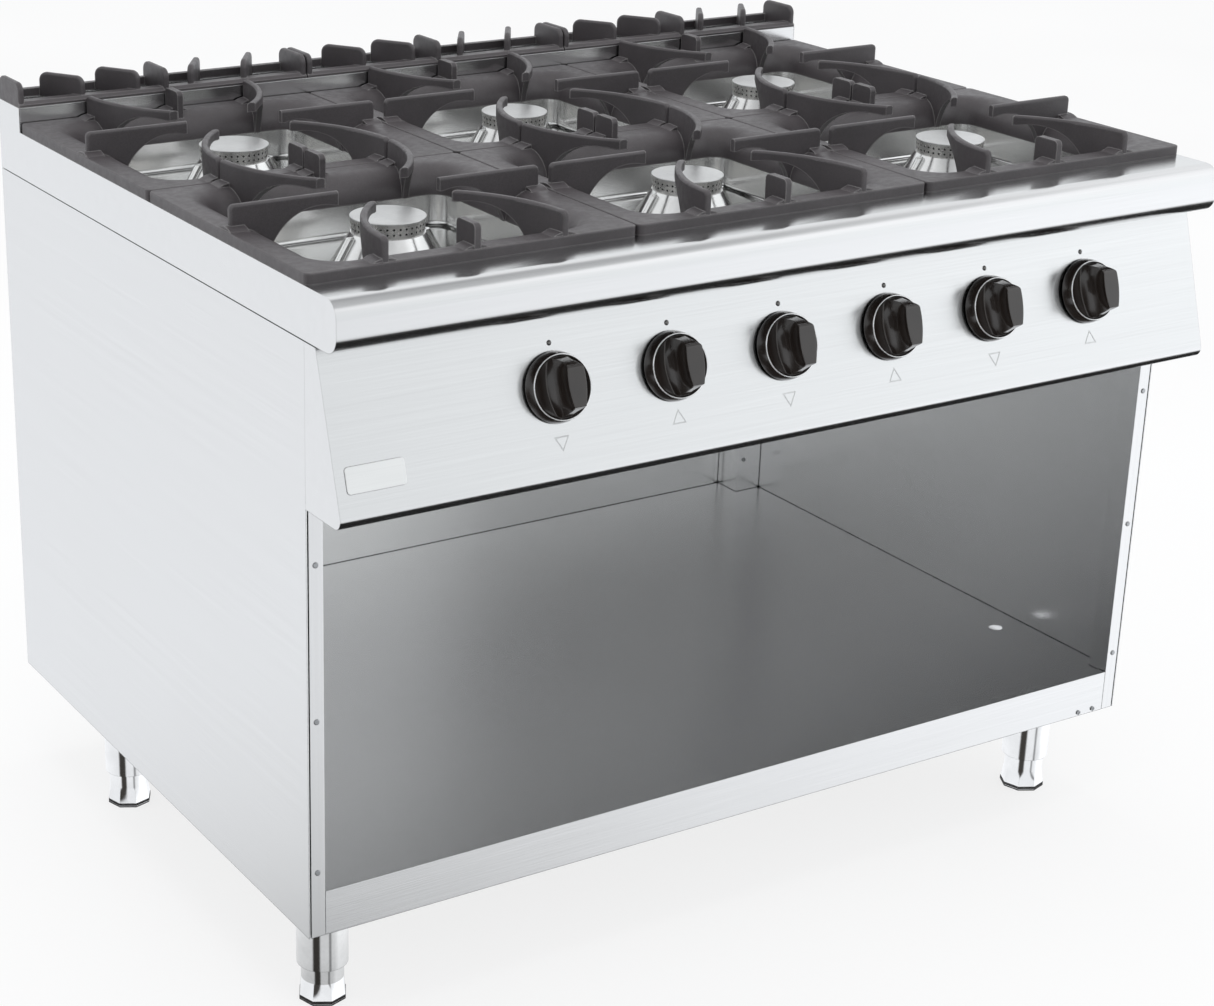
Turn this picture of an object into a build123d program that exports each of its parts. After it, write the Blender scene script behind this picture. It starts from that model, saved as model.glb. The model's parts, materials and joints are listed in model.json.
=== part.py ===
"""Free-standing six-burner commercial gas range on an open cabinet, as separate pieces.

Frame: origin on the floor under the middle of the whole range, +X to the cook's right, -Y
towards the cook, +Z up.  Millimetres.  The sizes below are taken from the middle of the 1200 by
900 footprint, and every piece is moved back by FOOTPRINT_SHIFT as it is written to
parts/NODE.step, which puts the origin midway between the knob grips and the rear edge.
"""
import math
import os

from build123d import *

# ---------------------------------------------------------------- driving dimensions
WIDTH = 1200.0
DEPTH = 900.0
CABINET_DEPTH = 825.0
LEG_HEIGHT = 137.0
SIDE_HEIGHT = 687.0
HOB_HEIGHT = 57.3
HOB_SEAM = 1.2
RISER_HEIGHT = 30.5
SHEET = 1.5
SEAM = 0.5
FOOTPRINT_SHIFT = 13.0

HALF_WIDTH = WIDTH / 2
BACK_Y = DEPTH / 2
FRONT_Y = BACK_Y - CABINET_DEPTH
BODY_BOTTOM = LEG_HEIGHT
SIDE_TOP = BODY_BOTTOM + SIDE_HEIGHT
HOB_BOTTOM = SIDE_TOP + HOB_SEAM
DECK_TOP = HOB_BOTTOM + HOB_HEIGHT
RISER_TOP = DECK_TOP + RISER_HEIGHT

# open cabinet
POST_WIDTH = 20.0
POST_DEPTH = 30.0
POST_GAP = 1.6
PLINTH_HEIGHT = 54.0
FLOOR_TOP = BODY_BOTTOM + PLINTH_HEIGHT - 2.0
FLOOR_EDGE = 48.0
FLOOR_FLANGE = 30.0
CEILING_Z = 643.5
CEILING_RAIL = 40.0
BACK_PANEL_Y = 446.0
REAR_POST_SIZE = 46.0
REAR_SLOT = 9.0
FLANGE = 12.0
SERVICE_HOLE_RADIUS = 9.5
SERVICE_HOLE = (555.0, -191.0)

# bullnose along the front of the hob
NOSE_REACH = 68.0
NOSE_RADIUS = 20.0
NOSE_LIP = 30.0

# control panel: a sloping face that rolls under at its lower edge
PANEL_TOP_Z = SIDE_TOP
PANEL_TOP_Y = FRONT_Y - 24.0
PANEL_ROLL_RADIUS = 12.0
PANEL_ROLL_Y = -BACK_Y + PANEL_ROLL_RADIUS
PANEL_ROLL_Z = CEILING_Z + PANEL_ROLL_RADIUS
PANEL_RUN = PANEL_TOP_Y - PANEL_ROLL_Y
PANEL_DROP = PANEL_TOP_Z - PANEL_ROLL_Z
PANEL_TILT = math.degrees(
    math.atan2(PANEL_RUN, PANEL_DROP)
    + math.asin(PANEL_ROLL_RADIUS / math.hypot(PANEL_RUN, PANEL_DROP))
)

# knobs and what lies on the panel, measured down the slope from its top edge
KNOB_COUNT = 6
KNOB_FIRST_X = -330.0
KNOB_PITCH = 150.0
KNOB_DOWN = 81.0
DOT_DOWN = 34.0
DOT_RADIUS = 2.8
DOT_DEPTH = 0.5
TRIANGLE_DOWN = 138.5
TRIANGLE_RADIUS = 10.5
TRIANGLE_LINE = 1.0
ENGRAVING = 0.3
BADGE_X = -553.5
BADGE_DOWN = 136.8
BADGE_SIZE = (69.0, 28.5)
BADGE_THICKNESS = 1.2

KNOB_TRAVEL = 3.0
KNOB_STANDOFF = KNOB_TRAVEL + 0.4
SKIRT_RADIUS = 38.4
SKIRT_SHOULDER = (38.0, 6.0)
RING_RADIUS = 35.4
RING_TOP = 16.5
RING_WIDTH = 1.4
DISH_RADIUS = 31.0
DISH_FLOOR = 12.0
DISH_THICKNESS = 3.0
GRIP_TOP = 46.0
GRIP_FOOT = 11.0
GRIP_WAIST = 27.0
# place along the grip, then its half width at the top, the waist and the foot
GRIP_SECTIONS = [
    (-33.0, 3.0, 2.4, 8.0),
    (-6.0, 10.2, 8.2, 17.0),
    (33.0, 8.6, 7.0, 14.0),
]
GRIP_FOOT_HALF_LENGTH = 33.0
GRIP_TOP_ENDS = (-21.5, 25.5)
KNOB_HUB_RADIUS = 10.0
SKIRT_LIP = 2.5
SKIRT_WALL = 4.0
STEM_RADIUS = 4.0
SHAFT_CLEARANCE = 0.05
STEM_BACK = -30.0
STEM_FRONT = 14.5
COLLAR_RADIUS = 7.4
COLLAR_BACK = -12.5
COLLAR_THICKNESS = 1.5

# gas train
VALVE_FRONT = -10.0
VALVE_BACK = -52.0
VALVE_RADIUS = 15.0
VALVE_OUTLET = 5.7
SPRING_BORE = 8.0
SPRING_SEAT = -27.0
SPRING_WIRE = 0.6
SPRING_RADIUS = 6.4
SPRING_LENGTH = 9.0
SPRING_COILS = 4
MANIFOLD_RADIUS = 13.45
MANIFOLD_WALL = 2.6
MANIFOLD_OFFSET = -63.5
SADDLE = 9.0
MANIFOLD_ENDS = (-400.0, 579.0)
SOCKET_WALL = 1.35
GAS_PIPE_RADIUS = 10.65
GAS_PIPE_WALL = 2.3
GAS_PIPE_X = 567.5
GAS_PIPE_Y = 425.0
GAS_PIPE_END_Z = 105.0
GAS_PIPE_BEND = 30.0
GAS_NUT_RADIUS = 15.0
GAS_NUT_HEIGHT = 14.0
BURNER_TUBE_RADIUS = 5.0
BURNER_TUBE_BEND = 9.0
BURNER_TUBE_Z = 695.0
INJECTOR_Z = 742.0
INJECTOR_RADIUS = 7.0
INJECTOR_HEIGHT = 10.0
INJECTOR_BORE = 0.9

# six burners on a grid of cells, one grate to a cell
CELL_X = 400.0
CELL_Y = 381.0
FRONT_ROW_Y = FRONT_Y + 185.5
CELLS = [
    (column * CELL_X, FRONT_ROW_Y + row * CELL_Y)
    for column in (-1, 0, 1)
    for row in (0, 1)
]

# wells pressed in sheet, hung in the deck
DECK_LEDGE = 16.0
DECK_CORNER = 20.0
WELL_SHELF_Z = DECK_TOP - 16.5
WELL_LIP = 10.0
WELL_SHEET = 1.0
WELL_INSET = 43.0
WELL_CORNER = 24.0
WELL_FLOOR_Z = 822.0
WELL_HOLE = 30.0

# burner
BURNER_FLANGE = 74.0
BURNER_FOOT = 68.0
BURNER_NECK = 41.6
BURNER_WALL = 3.5
BURNER_TOP_Z = 869.0
BURNER_WEB_Z = 862.0
MIXING_RADIUS = 19.5
MIXING_BORE = 16.0
MIXING_BOTTOM_Z = 755.0
PROBE_SLEEVE_RADIUS = 5.2
PROBE_SLEEVE_OFFSET = 2.4
PROBE_RADIUS = 2.0
PROBE_TIP = 0.9
PROBE_BORE = 2.3
CROWN_RADIUS_LOW = 40.2
CROWN_RADIUS_HIGH = 41.6
CROWN_BORE = 36.0
CROWN_TOP_Z = 885.0
CAP_RADIUS = 42.4
CAP_THICKNESS = 2.0
CAP_SPIGOT = 35.5
CAP_SPIGOT_DEPTH = 5.0

# cast grate
GRATE_GAP = 2.0
GRATE_CORNER = 7.0
RIM_HEIGHT = 12.0
RIM_WALL = 6.0
RIM_FLAT = 18.0
APRON_RADIUS = 32.5
APRON_WALL = 5.0
APRON_CORNER = 22.0
RIM_TOP = DECK_TOP + RIM_HEIGHT
APRON_BOTTOM = RIM_TOP - APRON_RADIUS
FIN_TOP = RIM_TOP + 26.5
FIN_THICKNESS = 8.0
FIN_ROUND = 3.0
FIN_CORNER = 6.0
FIN_INSET = 7.0
CROSS_FIN_TIP = 63.0
CROSS_TIP_HEIGHT = 15.0
ARC_FIN_X = 108.0
ARC_FIN_RADIUS = 185.0
ARC_FIN_TIP_Y = 57.0
ARC_TIP_HEIGHT = 12.0
ARC_FIN_INSET = 0.8
STUB_LENGTH = 37.0
BOSS_HALF_WIDTH = 17.0
BOSS_HEIGHT = 4.0

# flue riser and its cast grilles
RISER_FRONT_Y = FRONT_Y + 757.0
RISER_FLANGE = 10.0
FLUE_SLOT = (340.0, 40.0)
GRILLE_BASE = 7.0
GRILLE_FRONT_STRIP = 17.0
GRILLE_REAR_BAR = 8.0
GRILLE_FIN_TOP = RISER_TOP + 30.0
GRILLE_FIN_ROUND = 11.0
GRILLE_END_X = 195.2
GRILLE_SLANTED_X = (53.0, 128.0)
GRILLE_SLANT = 33.0
GRILLE_GAP = 1.0

# legs and levelling feet
LEG_PLACES = [(x, y) for x in (-537.5, 537.5) for y in (FRONT_Y + 88.5, FRONT_Y + 637.0)]
LEG_RADIUS = 30.15
LEG_WALL = 1.6
LEG_END_Z = 47.0
LEG_PLATE = 100.0
LEG_PLATE_THICKNESS = 3.0
LEG_PLUG = 20.0
LEG_PLUG_TOP = 105.0
FOOT_NECK_RADIUS = 25.0
FOOT_NECK_TOP = 72.0
FOOT_FLARE_TOP = 27.0
FOOT_SOLE = 6.0
FOOT_ACROSS_CORNERS = 57.0
FOOT_TURN = -118.5 + 22.5
STUD_RADIUS = 8.0
STUD_TOP = 126.0

# fasteners
RIVET_RADIUS = 3.2
RIVET_HEAD = 1.2
RIVET_LEVELS = (217.0, 399.0, 579.5)
SCREW_RADIUS = 3.0
SCREW_HEAD = 1.4
PLINTH_SCREWS = (538.0, 563.0)
PLINTH_SCREW_Z = 142.0
REAR_SCREW_LEVELS = (600.0, 240.0)

PANEL_NORMAL = (0.0, -math.cos(math.radians(PANEL_TILT)), math.sin(math.radians(PANEL_TILT)))


# ---------------------------------------------------------------- small helpers
def block(x0, x1, y0, y1, z0, z1):
    """A box between two corners."""
    box = Box(x1 - x0, y1 - y0, z1 - z0)
    return Pos((x0 + x1) / 2, (y0 + y1) / 2, (z0 + z1) / 2) * box


def along_x(face, x0, x1):
    """Extrude a face drawn in (y, z) from x0 to x1."""
    return Pos(x0, 0, 0) * extrude(Plane.YZ * face, x1 - x0)


def along_y(face, y0, y1):
    """Extrude a face drawn in (x, z) from y0 to y1."""
    return Pos(0, y1, 0) * extrude(Plane.XZ * face, y1 - y0)


def rod(radius, z0, z1, x=0.0, y=0.0):
    """An upright cylinder from z0 to z1."""
    return Pos(x, y, (z0 + z1) / 2) * Cylinder(radius, z1 - z0)


def slab(half_x, half_y, corner, z0, z1):
    """An upright prism with a rounded rectangular outline."""
    outline = RectangleRounded(2 * half_x, 2 * half_y, corner)
    return Pos(0, 0, z0) * extrude(outline, z1 - z0)


def mirrored(solid):
    """The same piece on the other side of the middle plane."""
    return mirror(solid, Plane.YZ)


def on_panel(x, down, out=0.0):
    """A plane on the sloping control panel: local x right, y up the slope, z out of it."""
    tilt = math.radians(PANEL_TILT)
    y = PANEL_TOP_Y - down * math.sin(tilt) - out * math.cos(tilt)
    z = PANEL_TOP_Z - down * math.cos(tilt) + out * math.sin(tilt)
    return Plane(origin=(x, y, z), x_dir=(1, 0, 0), z_dir=PANEL_NORMAL)


def knob_x(index):
    """Where a knob's axis stands across the range."""
    return KNOB_FIRST_X + index * KNOB_PITCH


# ---------------------------------------------------------------- cabinet
def side_panel_right():
    """Outer side sheet with a flange turned in along its top, bottom and back."""
    inner = HALF_WIDTH - SHEET
    flange = HALF_WIDTH - FLANGE
    sheet = block(inner, HALF_WIDTH, FRONT_Y, BACK_Y, BODY_BOTTOM, SIDE_TOP)
    back = block(flange, inner, BACK_Y - SHEET, BACK_Y, BODY_BOTTOM, SIDE_TOP)
    flange_front = FRONT_Y + POST_DEPTH + POST_GAP
    bottom = block(flange, inner, flange_front, BACK_Y - SHEET, BODY_BOTTOM, BODY_BOTTOM + SHEET)
    top = block(flange, inner, flange_front, BACK_Y - SHEET, SIDE_TOP - SHEET, SIDE_TOP)
    return sheet + back + bottom + top


def front_post_right():
    """Folded channel that closes the front edge of the side."""
    outer = HALF_WIDTH - SHEET - POST_GAP
    inner = HALF_WIDTH - POST_WIDTH
    back = FRONT_Y + POST_DEPTH
    solid = block(inner, outer, FRONT_Y, back, BODY_BOTTOM, SIDE_TOP)
    hollow = block(inner + SHEET, outer - SHEET, FRONT_Y + SHEET, back, BODY_BOTTOM, SIDE_TOP)
    return solid - hollow


def back_panel():
    """Back sheet, stopping short of the rear posts by a slot that a strip closes from behind."""
    half = HALF_WIDTH - REAR_POST_SIZE - REAR_SLOT
    lower = block(-half, half, BACK_PANEL_Y, BACK_PANEL_Y + SHEET, BODY_BOTTOM, SIDE_TOP)
    strip = block(half - FLANGE, half + REAR_SLOT + FLANGE / 2, BACK_PANEL_Y + SHEET,
                  BACK_PANEL_Y + 2 * SHEET, BODY_BOTTOM, SIDE_TOP)
    lower += [strip, mirrored(strip)]
    foot = block(-half, half, BACK_PANEL_Y - FLANGE, BACK_PANEL_Y, BODY_BOTTOM, BODY_BOTTOM + SHEET)
    return lower + foot


def rear_post_right():
    """Folded corner channel that covers the gas pipe."""
    outer = HALF_WIDTH - FLANGE
    inner = HALF_WIDTH - REAR_POST_SIZE
    front = BACK_PANEL_Y - REAR_POST_SIZE
    back = BACK_Y - 2 * SHEET
    low = FLOOR_TOP
    solid = block(inner, HALF_WIDTH - SHEET - SEAM, front, back, low, CEILING_Z)
    hollow = block(inner + SHEET, HALF_WIDTH, front + SHEET, back - SHEET, low, CEILING_Z)
    open_back = block(inner + FLANGE, outer, back - SHEET, back, low, CEILING_Z)
    return solid - hollow - open_back


def cabinet_floor():
    """Floor tray with turned-down edges, a return flange and two service holes."""
    half = HALF_WIDTH - SHEET - SEAM
    front = FRONT_Y + POST_DEPTH + POST_GAP
    back = BACK_PANEL_Y - 2 * SEAM
    low = FLOOR_TOP - FLOOR_EDGE
    tray = block(-half, half, front, back, low, FLOOR_TOP)
    hollow = block(-half + SHEET, half - SHEET, front + SHEET, back - SHEET, low, FLOOR_TOP - SHEET)
    ring = block(-half, half, front, back, low, low + SHEET)
    opening = block(-half + FLOOR_FLANGE, half - FLOOR_FLANGE, front + FLOOR_FLANGE,
                    back - FLOOR_FLANGE, low, low + SHEET)
    tread = block(-HALF_WIDTH + POST_WIDTH + SEAM, HALF_WIDTH - POST_WIDTH - SEAM,
                  FRONT_Y + FLANGE + SEAM, front, FLOOR_TOP - SHEET, FLOOR_TOP)
    service = rod(SERVICE_HOLE_RADIUS, low, FLOOR_TOP, *SERVICE_HOLE)
    pipe = rod(GAS_PIPE_RADIUS + 2, low, FLOOR_TOP, GAS_PIPE_X, GAS_PIPE_Y)
    return tray - hollow + (ring - opening) + tread - service - pipe


def plinth():
    """Front kick strip between the posts, folded back at top and bottom."""
    half = HALF_WIDTH - POST_WIDTH - SEAM
    top = BODY_BOTTOM + PLINTH_HEIGHT
    face = block(-half, half, FRONT_Y, FRONT_Y + SHEET, BODY_BOTTOM, top)
    upper = block(-half, half, FRONT_Y + SHEET, FRONT_Y + FLANGE, top - SHEET, top)
    lower = block(-half, half, FRONT_Y + SHEET, FRONT_Y + POST_DEPTH, BODY_BOTTOM, BODY_BOTTOM + SHEET)
    return face + upper + lower


def compartment_base():
    """Sheet under the gas compartment, with a rail between the front posts."""
    half = HALF_WIDTH - SHEET - SEAM
    between = HALF_WIDTH - POST_WIDTH - SEAM
    front = FRONT_Y + POST_DEPTH + POST_GAP
    sheet = block(-half, half, front, BACK_PANEL_Y - SEAM, CEILING_Z, CEILING_Z + SHEET)
    tread = block(-between, between, FRONT_Y + SHEET, front, CEILING_Z, CEILING_Z + SHEET)
    rail_top = CEILING_Z + CEILING_RAIL
    rail = block(-between, between, front - SHEET, front, CEILING_Z + SHEET, rail_top)
    pipe = rod(GAS_PIPE_RADIUS + 2, CEILING_Z, rail_top, GAS_PIPE_X, GAS_PIPE_Y)
    return sheet + tread + rail - pipe


# ---------------------------------------------------------------- control panel
def panel_outline(inset):
    """Side outline of the control panel in (y, z), set in from the outer skin."""
    tilt = math.radians(PANEL_TILT)
    radius = PANEL_ROLL_RADIUS - inset
    top = (PANEL_TOP_Y + inset * math.cos(tilt), PANEL_TOP_Z - inset * math.sin(tilt))
    roll = (PANEL_ROLL_Y, PANEL_ROLL_Z)
    start = (roll[0] - radius * math.cos(tilt), roll[1] + radius * math.sin(tilt))
    mid_angle = math.radians(180 - PANEL_TILT / 2 + 45)
    middle = (roll[0] + radius * math.cos(mid_angle), roll[1] + radius * math.sin(mid_angle))
    low = (roll[0], roll[1] - radius)
    back = FRONT_Y if inset == 0 else FRONT_Y + 1
    face = Polyline(top, start)
    nose = ThreePointArc(start, middle, low)
    rest = Polyline(low, (back, low[1]), (back, top[1]), top)
    return make_face(Wire([*face.edges(), *nose.edges(), *rest.edges()]))


def triangle_mark(x, points_up):
    """Thin engraved triangle that says front or rear burner."""
    turn = 90 if points_up else -90
    outer = RegularPolygon(TRIANGLE_RADIUS, 3)
    inner = RegularPolygon(TRIANGLE_RADIUS - 2 * TRIANGLE_LINE, 3)
    line = extrude(outer - inner, -ENGRAVING)
    return on_panel(x, TRIANGLE_DOWN).location * Rot(0, 0, turn) * line


def control_panel():
    """Sloping panel shell with closed ends, stem holes and engraved marks."""
    shell = along_x(panel_outline(0.0), -HALF_WIDTH, HALF_WIDTH)
    inner = HALF_WIDTH - SHEET
    shell -= along_x(panel_outline(SHEET), -inner, inner)
    for index in range(KNOB_COUNT):
        x = knob_x(index)
        shell -= on_panel(x, KNOB_DOWN).location * Cylinder(STEM_RADIUS + 3, 6)
        shell -= on_panel(x, DOT_DOWN).location * Cylinder(DOT_RADIUS, 2 * DOT_DEPTH)
        shell -= triangle_mark(x, points_up=index % 2 == 1)
    return shell


def badge_plate():
    """Plain name plate, left blank."""
    width, height = BADGE_SIZE
    plate = extrude(RectangleRounded(width, height, 4.0), BADGE_THICKNESS)
    plate = fillet(plate.faces().sort_by(Axis.Z)[-1].edges(), BADGE_THICKNESS / 2)
    return on_panel(BADGE_X, BADGE_DOWN).location * plate


# ---------------------------------------------------------------- knob, stem and valve
def grip_section(along, top, waist, foot):
    """Cross section of the grip: a flat top over two hollow sides."""
    left = ThreePointArc((-foot, GRIP_FOOT), (-waist, GRIP_WAIST), (-top, GRIP_TOP))
    right = ThreePointArc((top, GRIP_TOP), (waist, GRIP_WAIST), (foot, GRIP_FOOT))
    lines = [Line((-top, GRIP_TOP), (top, GRIP_TOP)), Line((foot, GRIP_FOOT), (-foot, GRIP_FOOT))]
    face = make_face(Wire([left.edge(), lines[0].edge(), right.edge(), lines[1].edge()]))
    return Plane((0, along, 0), x_dir=(1, 0, 0), z_dir=(0, -1, 0)) * face


def knob_grip():
    """Tall finger grip across the knob, narrower at its lower end, with sloping ends."""
    bar = loft([grip_section(*section) for section in GRIP_SECTIONS])
    low, high = GRIP_TOP_ENDS
    side = make_face(Polyline(
        (-GRIP_FOOT_HALF_LENGTH, GRIP_FOOT),
        (GRIP_FOOT_HALF_LENGTH, GRIP_FOOT),
        (high, GRIP_TOP),
        (low, GRIP_TOP),
        close=True,
    ))
    return bar & along_x(side, -SKIRT_RADIUS, SKIRT_RADIUS)


def knob():
    """Moulded knob about its own axis, local z out of the panel."""
    under = DISH_FLOOR - DISH_THICKNESS
    profile = make_face(Polyline(
        (0, KNOB_STANDOFF),
        (KNOB_HUB_RADIUS, KNOB_STANDOFF),
        (KNOB_HUB_RADIUS, under),
        (SKIRT_RADIUS - SKIRT_WALL, under),
        (SKIRT_RADIUS - SKIRT_LIP, KNOB_STANDOFF),
        (SKIRT_RADIUS, KNOB_STANDOFF),
        SKIRT_SHOULDER,
        (RING_RADIUS, RING_TOP - 0.5),
        (RING_RADIUS - 0.5, RING_TOP),
        (RING_RADIUS - RING_WIDTH, RING_TOP),
        (DISH_RADIUS, DISH_FLOOR),
        (0, DISH_FLOOR),
        close=True,
    ))
    body = revolve(Plane.XZ * profile, Axis.Z) + knob_grip()
    return body - rod(STEM_RADIUS + SHAFT_CLEARANCE, KNOB_STANDOFF, STEM_FRONT + 0.5)


def valve_stem():
    """Valve shaft with the collar that the return spring pushes on."""
    shaft = rod(STEM_RADIUS, STEM_BACK, STEM_FRONT)
    collar = rod(COLLAR_RADIUS, COLLAR_BACK, COLLAR_BACK + COLLAR_THICKNESS)
    return shaft + collar


def gas_valve():
    """Tapered gas valve, bored for its stem and saddled on the manifold."""
    body = rod(VALVE_RADIUS, VALVE_BACK, VALVE_FRONT)
    flange = rod(VALVE_RADIUS + 4, VALVE_FRONT - 6, VALVE_FRONT)
    saddle = Pos(0, 0, VALVE_BACK) * Box(26, 26, 2 * SADDLE)
    pipe = Pos(0, 0, MANIFOLD_OFFSET) * Rot(0, 90, 0) * Cylinder(MANIFOLD_RADIUS + 0.1, 60)
    outlet = Pos(0, -VALVE_RADIUS, -36) * Rot(90, 0, 0) * Cylinder(BURNER_TUBE_RADIUS + 3, 8)
    bore = rod(STEM_RADIUS + SHAFT_CLEARANCE, STEM_BACK - KNOB_TRAVEL - 1, VALVE_FRONT)
    spring_room = rod(SPRING_BORE, SPRING_SEAT, VALVE_FRONT)
    return body + flange + saddle + outlet - pipe - bore - spring_room


def valve_spring():
    """Return spring of the push action, drawn at its pushed-in length."""
    pitch = (SPRING_LENGTH - 2 * SPRING_WIRE) / SPRING_COILS
    path = Helix(pitch, pitch * SPRING_COILS, SPRING_RADIUS)
    section = Plane(origin=path @ 0, z_dir=path % 0) * Circle(SPRING_WIRE)
    coil = sweep(section, path=path, is_frenet=True)
    return Pos(0, 0, SPRING_SEAT + SPRING_WIRE + 0.1) * coil


def at_knobs(make):
    """One copy of a piece on each knob axis."""
    piece = make()
    return [on_panel(knob_x(index), KNOB_DOWN).location * piece for index in range(KNOB_COUNT)]


# ---------------------------------------------------------------- gas pipes
def manifold_centre():
    """Centre line of the manifold as (y, z)."""
    place = on_panel(0.0, KNOB_DOWN, MANIFOLD_OFFSET).origin
    return place.Y, place.Z


def gas_manifold():
    """Straight supply pipe with plugged ends and an outlet boss for the inlet pipe."""
    y, z = manifold_centre()
    left, right = MANIFOLD_ENDS
    pipe = Rot(0, 90, 0) * Cylinder(MANIFOLD_RADIUS, right - left)
    bore = Rot(0, 90, 0) * Cylinder(MANIFOLD_RADIUS - MANIFOLD_WALL, right - left - 8)
    tube = Pos((left + right) / 2, y, z) * (pipe - bore)
    boss = along_y(Pos(GAS_PIPE_X, z) * Circle(GAS_PIPE_RADIUS + SOCKET_WALL), y, y + MANIFOLD_RADIUS + 8)
    inside = Pos((left + right) / 2, y, z) * bore
    socket = along_y(Pos(GAS_PIPE_X, z) * Circle(GAS_PIPE_RADIUS), y + 8, y + MANIFOLD_RADIUS + 8)
    return tube + (boss - inside) - socket


def gas_pipe():
    """Inlet pipe: from the manifold to the back, then down to the threaded inlet."""
    y, z = manifold_centre()
    start_y = y + MANIFOLD_RADIUS + 2
    route = FilletPolyline(
        (GAS_PIPE_X, start_y, z),
        (GAS_PIPE_X, GAS_PIPE_Y, z),
        (GAS_PIPE_X, GAS_PIPE_Y, GAS_PIPE_END_Z),
        radius=GAS_PIPE_BEND,
    )
    start = Plane(origin=route @ 0, z_dir=route % 0)
    pipe = sweep(start * Circle(GAS_PIPE_RADIUS), path=route)
    pipe -= sweep(start * Circle(GAS_PIPE_RADIUS - GAS_PIPE_WALL), path=route)
    nut_z = GAS_PIPE_END_Z + 16
    nut = Pos(GAS_PIPE_X, GAS_PIPE_Y, nut_z) * extrude(RegularPolygon(GAS_NUT_RADIUS, 6), GAS_NUT_HEIGHT)
    nut -= rod(GAS_PIPE_RADIUS - 1, nut_z, nut_z + GAS_NUT_HEIGHT, GAS_PIPE_X, GAS_PIPE_Y)
    return pipe + nut


def burner_tube(index):
    """Feed tube from a valve to the injector under its burner."""
    outlet = on_panel(knob_x(index), KNOB_DOWN, -36.0)
    start = outlet.origin - outlet.y_dir * (VALVE_RADIUS + VALVE_OUTLET)
    burner_x, burner_y = CELLS[index]
    route = FilletPolyline(
        (start.X, start.Y, start.Z),
        (start.X, start.Y, BURNER_TUBE_Z),
        (start.X, burner_y, BURNER_TUBE_Z),
        (burner_x, burner_y, BURNER_TUBE_Z),
        (burner_x, burner_y, INJECTOR_Z),
        radius=BURNER_TUBE_BEND,
    )
    tube = sweep(Plane(origin=route @ 0, z_dir=route % 0) * Circle(BURNER_TUBE_RADIUS), path=route)
    nozzle = rod(INJECTOR_RADIUS, INJECTOR_Z, INJECTOR_Z + INJECTOR_HEIGHT, burner_x, burner_y)
    bore = rod(INJECTOR_BORE, INJECTOR_Z + 2, INJECTOR_Z + INJECTOR_HEIGHT, burner_x, burner_y)
    return tube + nozzle - bore


# ---------------------------------------------------------------- hob top
def hob_outline(inset):
    """Side outline of the hob in (y, z), set in from the outer skin."""
    back = BACK_Y - inset
    top = DECK_TOP - inset
    low = HOB_BOTTOM + inset
    nose = FRONT_Y - NOSE_REACH + inset
    radius = NOSE_RADIUS - inset
    line = Polyline((nose, low), (back, low), (back, top), (nose, top), close=True)
    outline = make_face(line)
    front = outline.vertices().sort_by(Axis.X)[:2]
    return fillet(front, radius)


def cell_opening():
    """Deck cut-out of one cell, about its centre."""
    half_x = CELL_X / 2 - DECK_LEDGE
    half_y = CELL_Y / 2 - DECK_LEDGE
    return slab(half_x, half_y, DECK_CORNER, WELL_SHELF_Z - SHEET, DECK_TOP + 1)


def cell_frame():
    """Turned-down edge and shelf that a well hangs in, about the cell's centre."""
    half_x = CELL_X / 2 - DECK_LEDGE
    half_y = CELL_Y / 2 - DECK_LEDGE
    low = WELL_SHELF_Z - SHEET
    wall = slab(half_x + SHEET, half_y + SHEET, DECK_CORNER + SHEET, low, DECK_TOP)
    wall -= slab(half_x, half_y, DECK_CORNER, WELL_SHELF_Z, DECK_TOP)
    inner_corner = DECK_CORNER - WELL_LIP
    wall -= slab(half_x - WELL_LIP, half_y - WELL_LIP, inner_corner, low, WELL_SHELF_Z)
    return wall


def hob_top():
    """Pressed worktop: deck, bullnose front, sides that rise beside the flue."""
    inner = HALF_WIDTH - SHEET
    shell = along_x(hob_outline(0.0), -HALF_WIDTH, HALF_WIDTH)
    shell -= along_x(hob_outline(SHEET), -inner, inner)
    lip_y = FRONT_Y - NOSE_REACH + NOSE_LIP
    shell -= block(-inner, inner, lip_y, BACK_Y - SHEET, HOB_BOTTOM, HOB_BOTTOM + 2 * SHEET)
    for x, y in CELLS:
        shell -= Pos(x, y, 0) * cell_opening()
        shell += Pos(x, y, 0) * cell_frame()
    slot_x, slot_y = FLUE_SLOT
    slot_front = RISER_FRONT_Y + RISER_FLANGE
    for x in (-CELL_X, 0.0, CELL_X):
        shell -= block(x - slot_x / 2, x + slot_x / 2, slot_front, slot_front + slot_y,
                       DECK_TOP - 2 * SHEET, DECK_TOP + 1)
    for side in (-1, 1):
        x0, x1 = sorted((side * inner, side * HALF_WIDTH))
        shell += block(x0, x1, RISER_FRONT_Y, BACK_Y, DECK_TOP - SHEET, RISER_TOP)
    return shell


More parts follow.
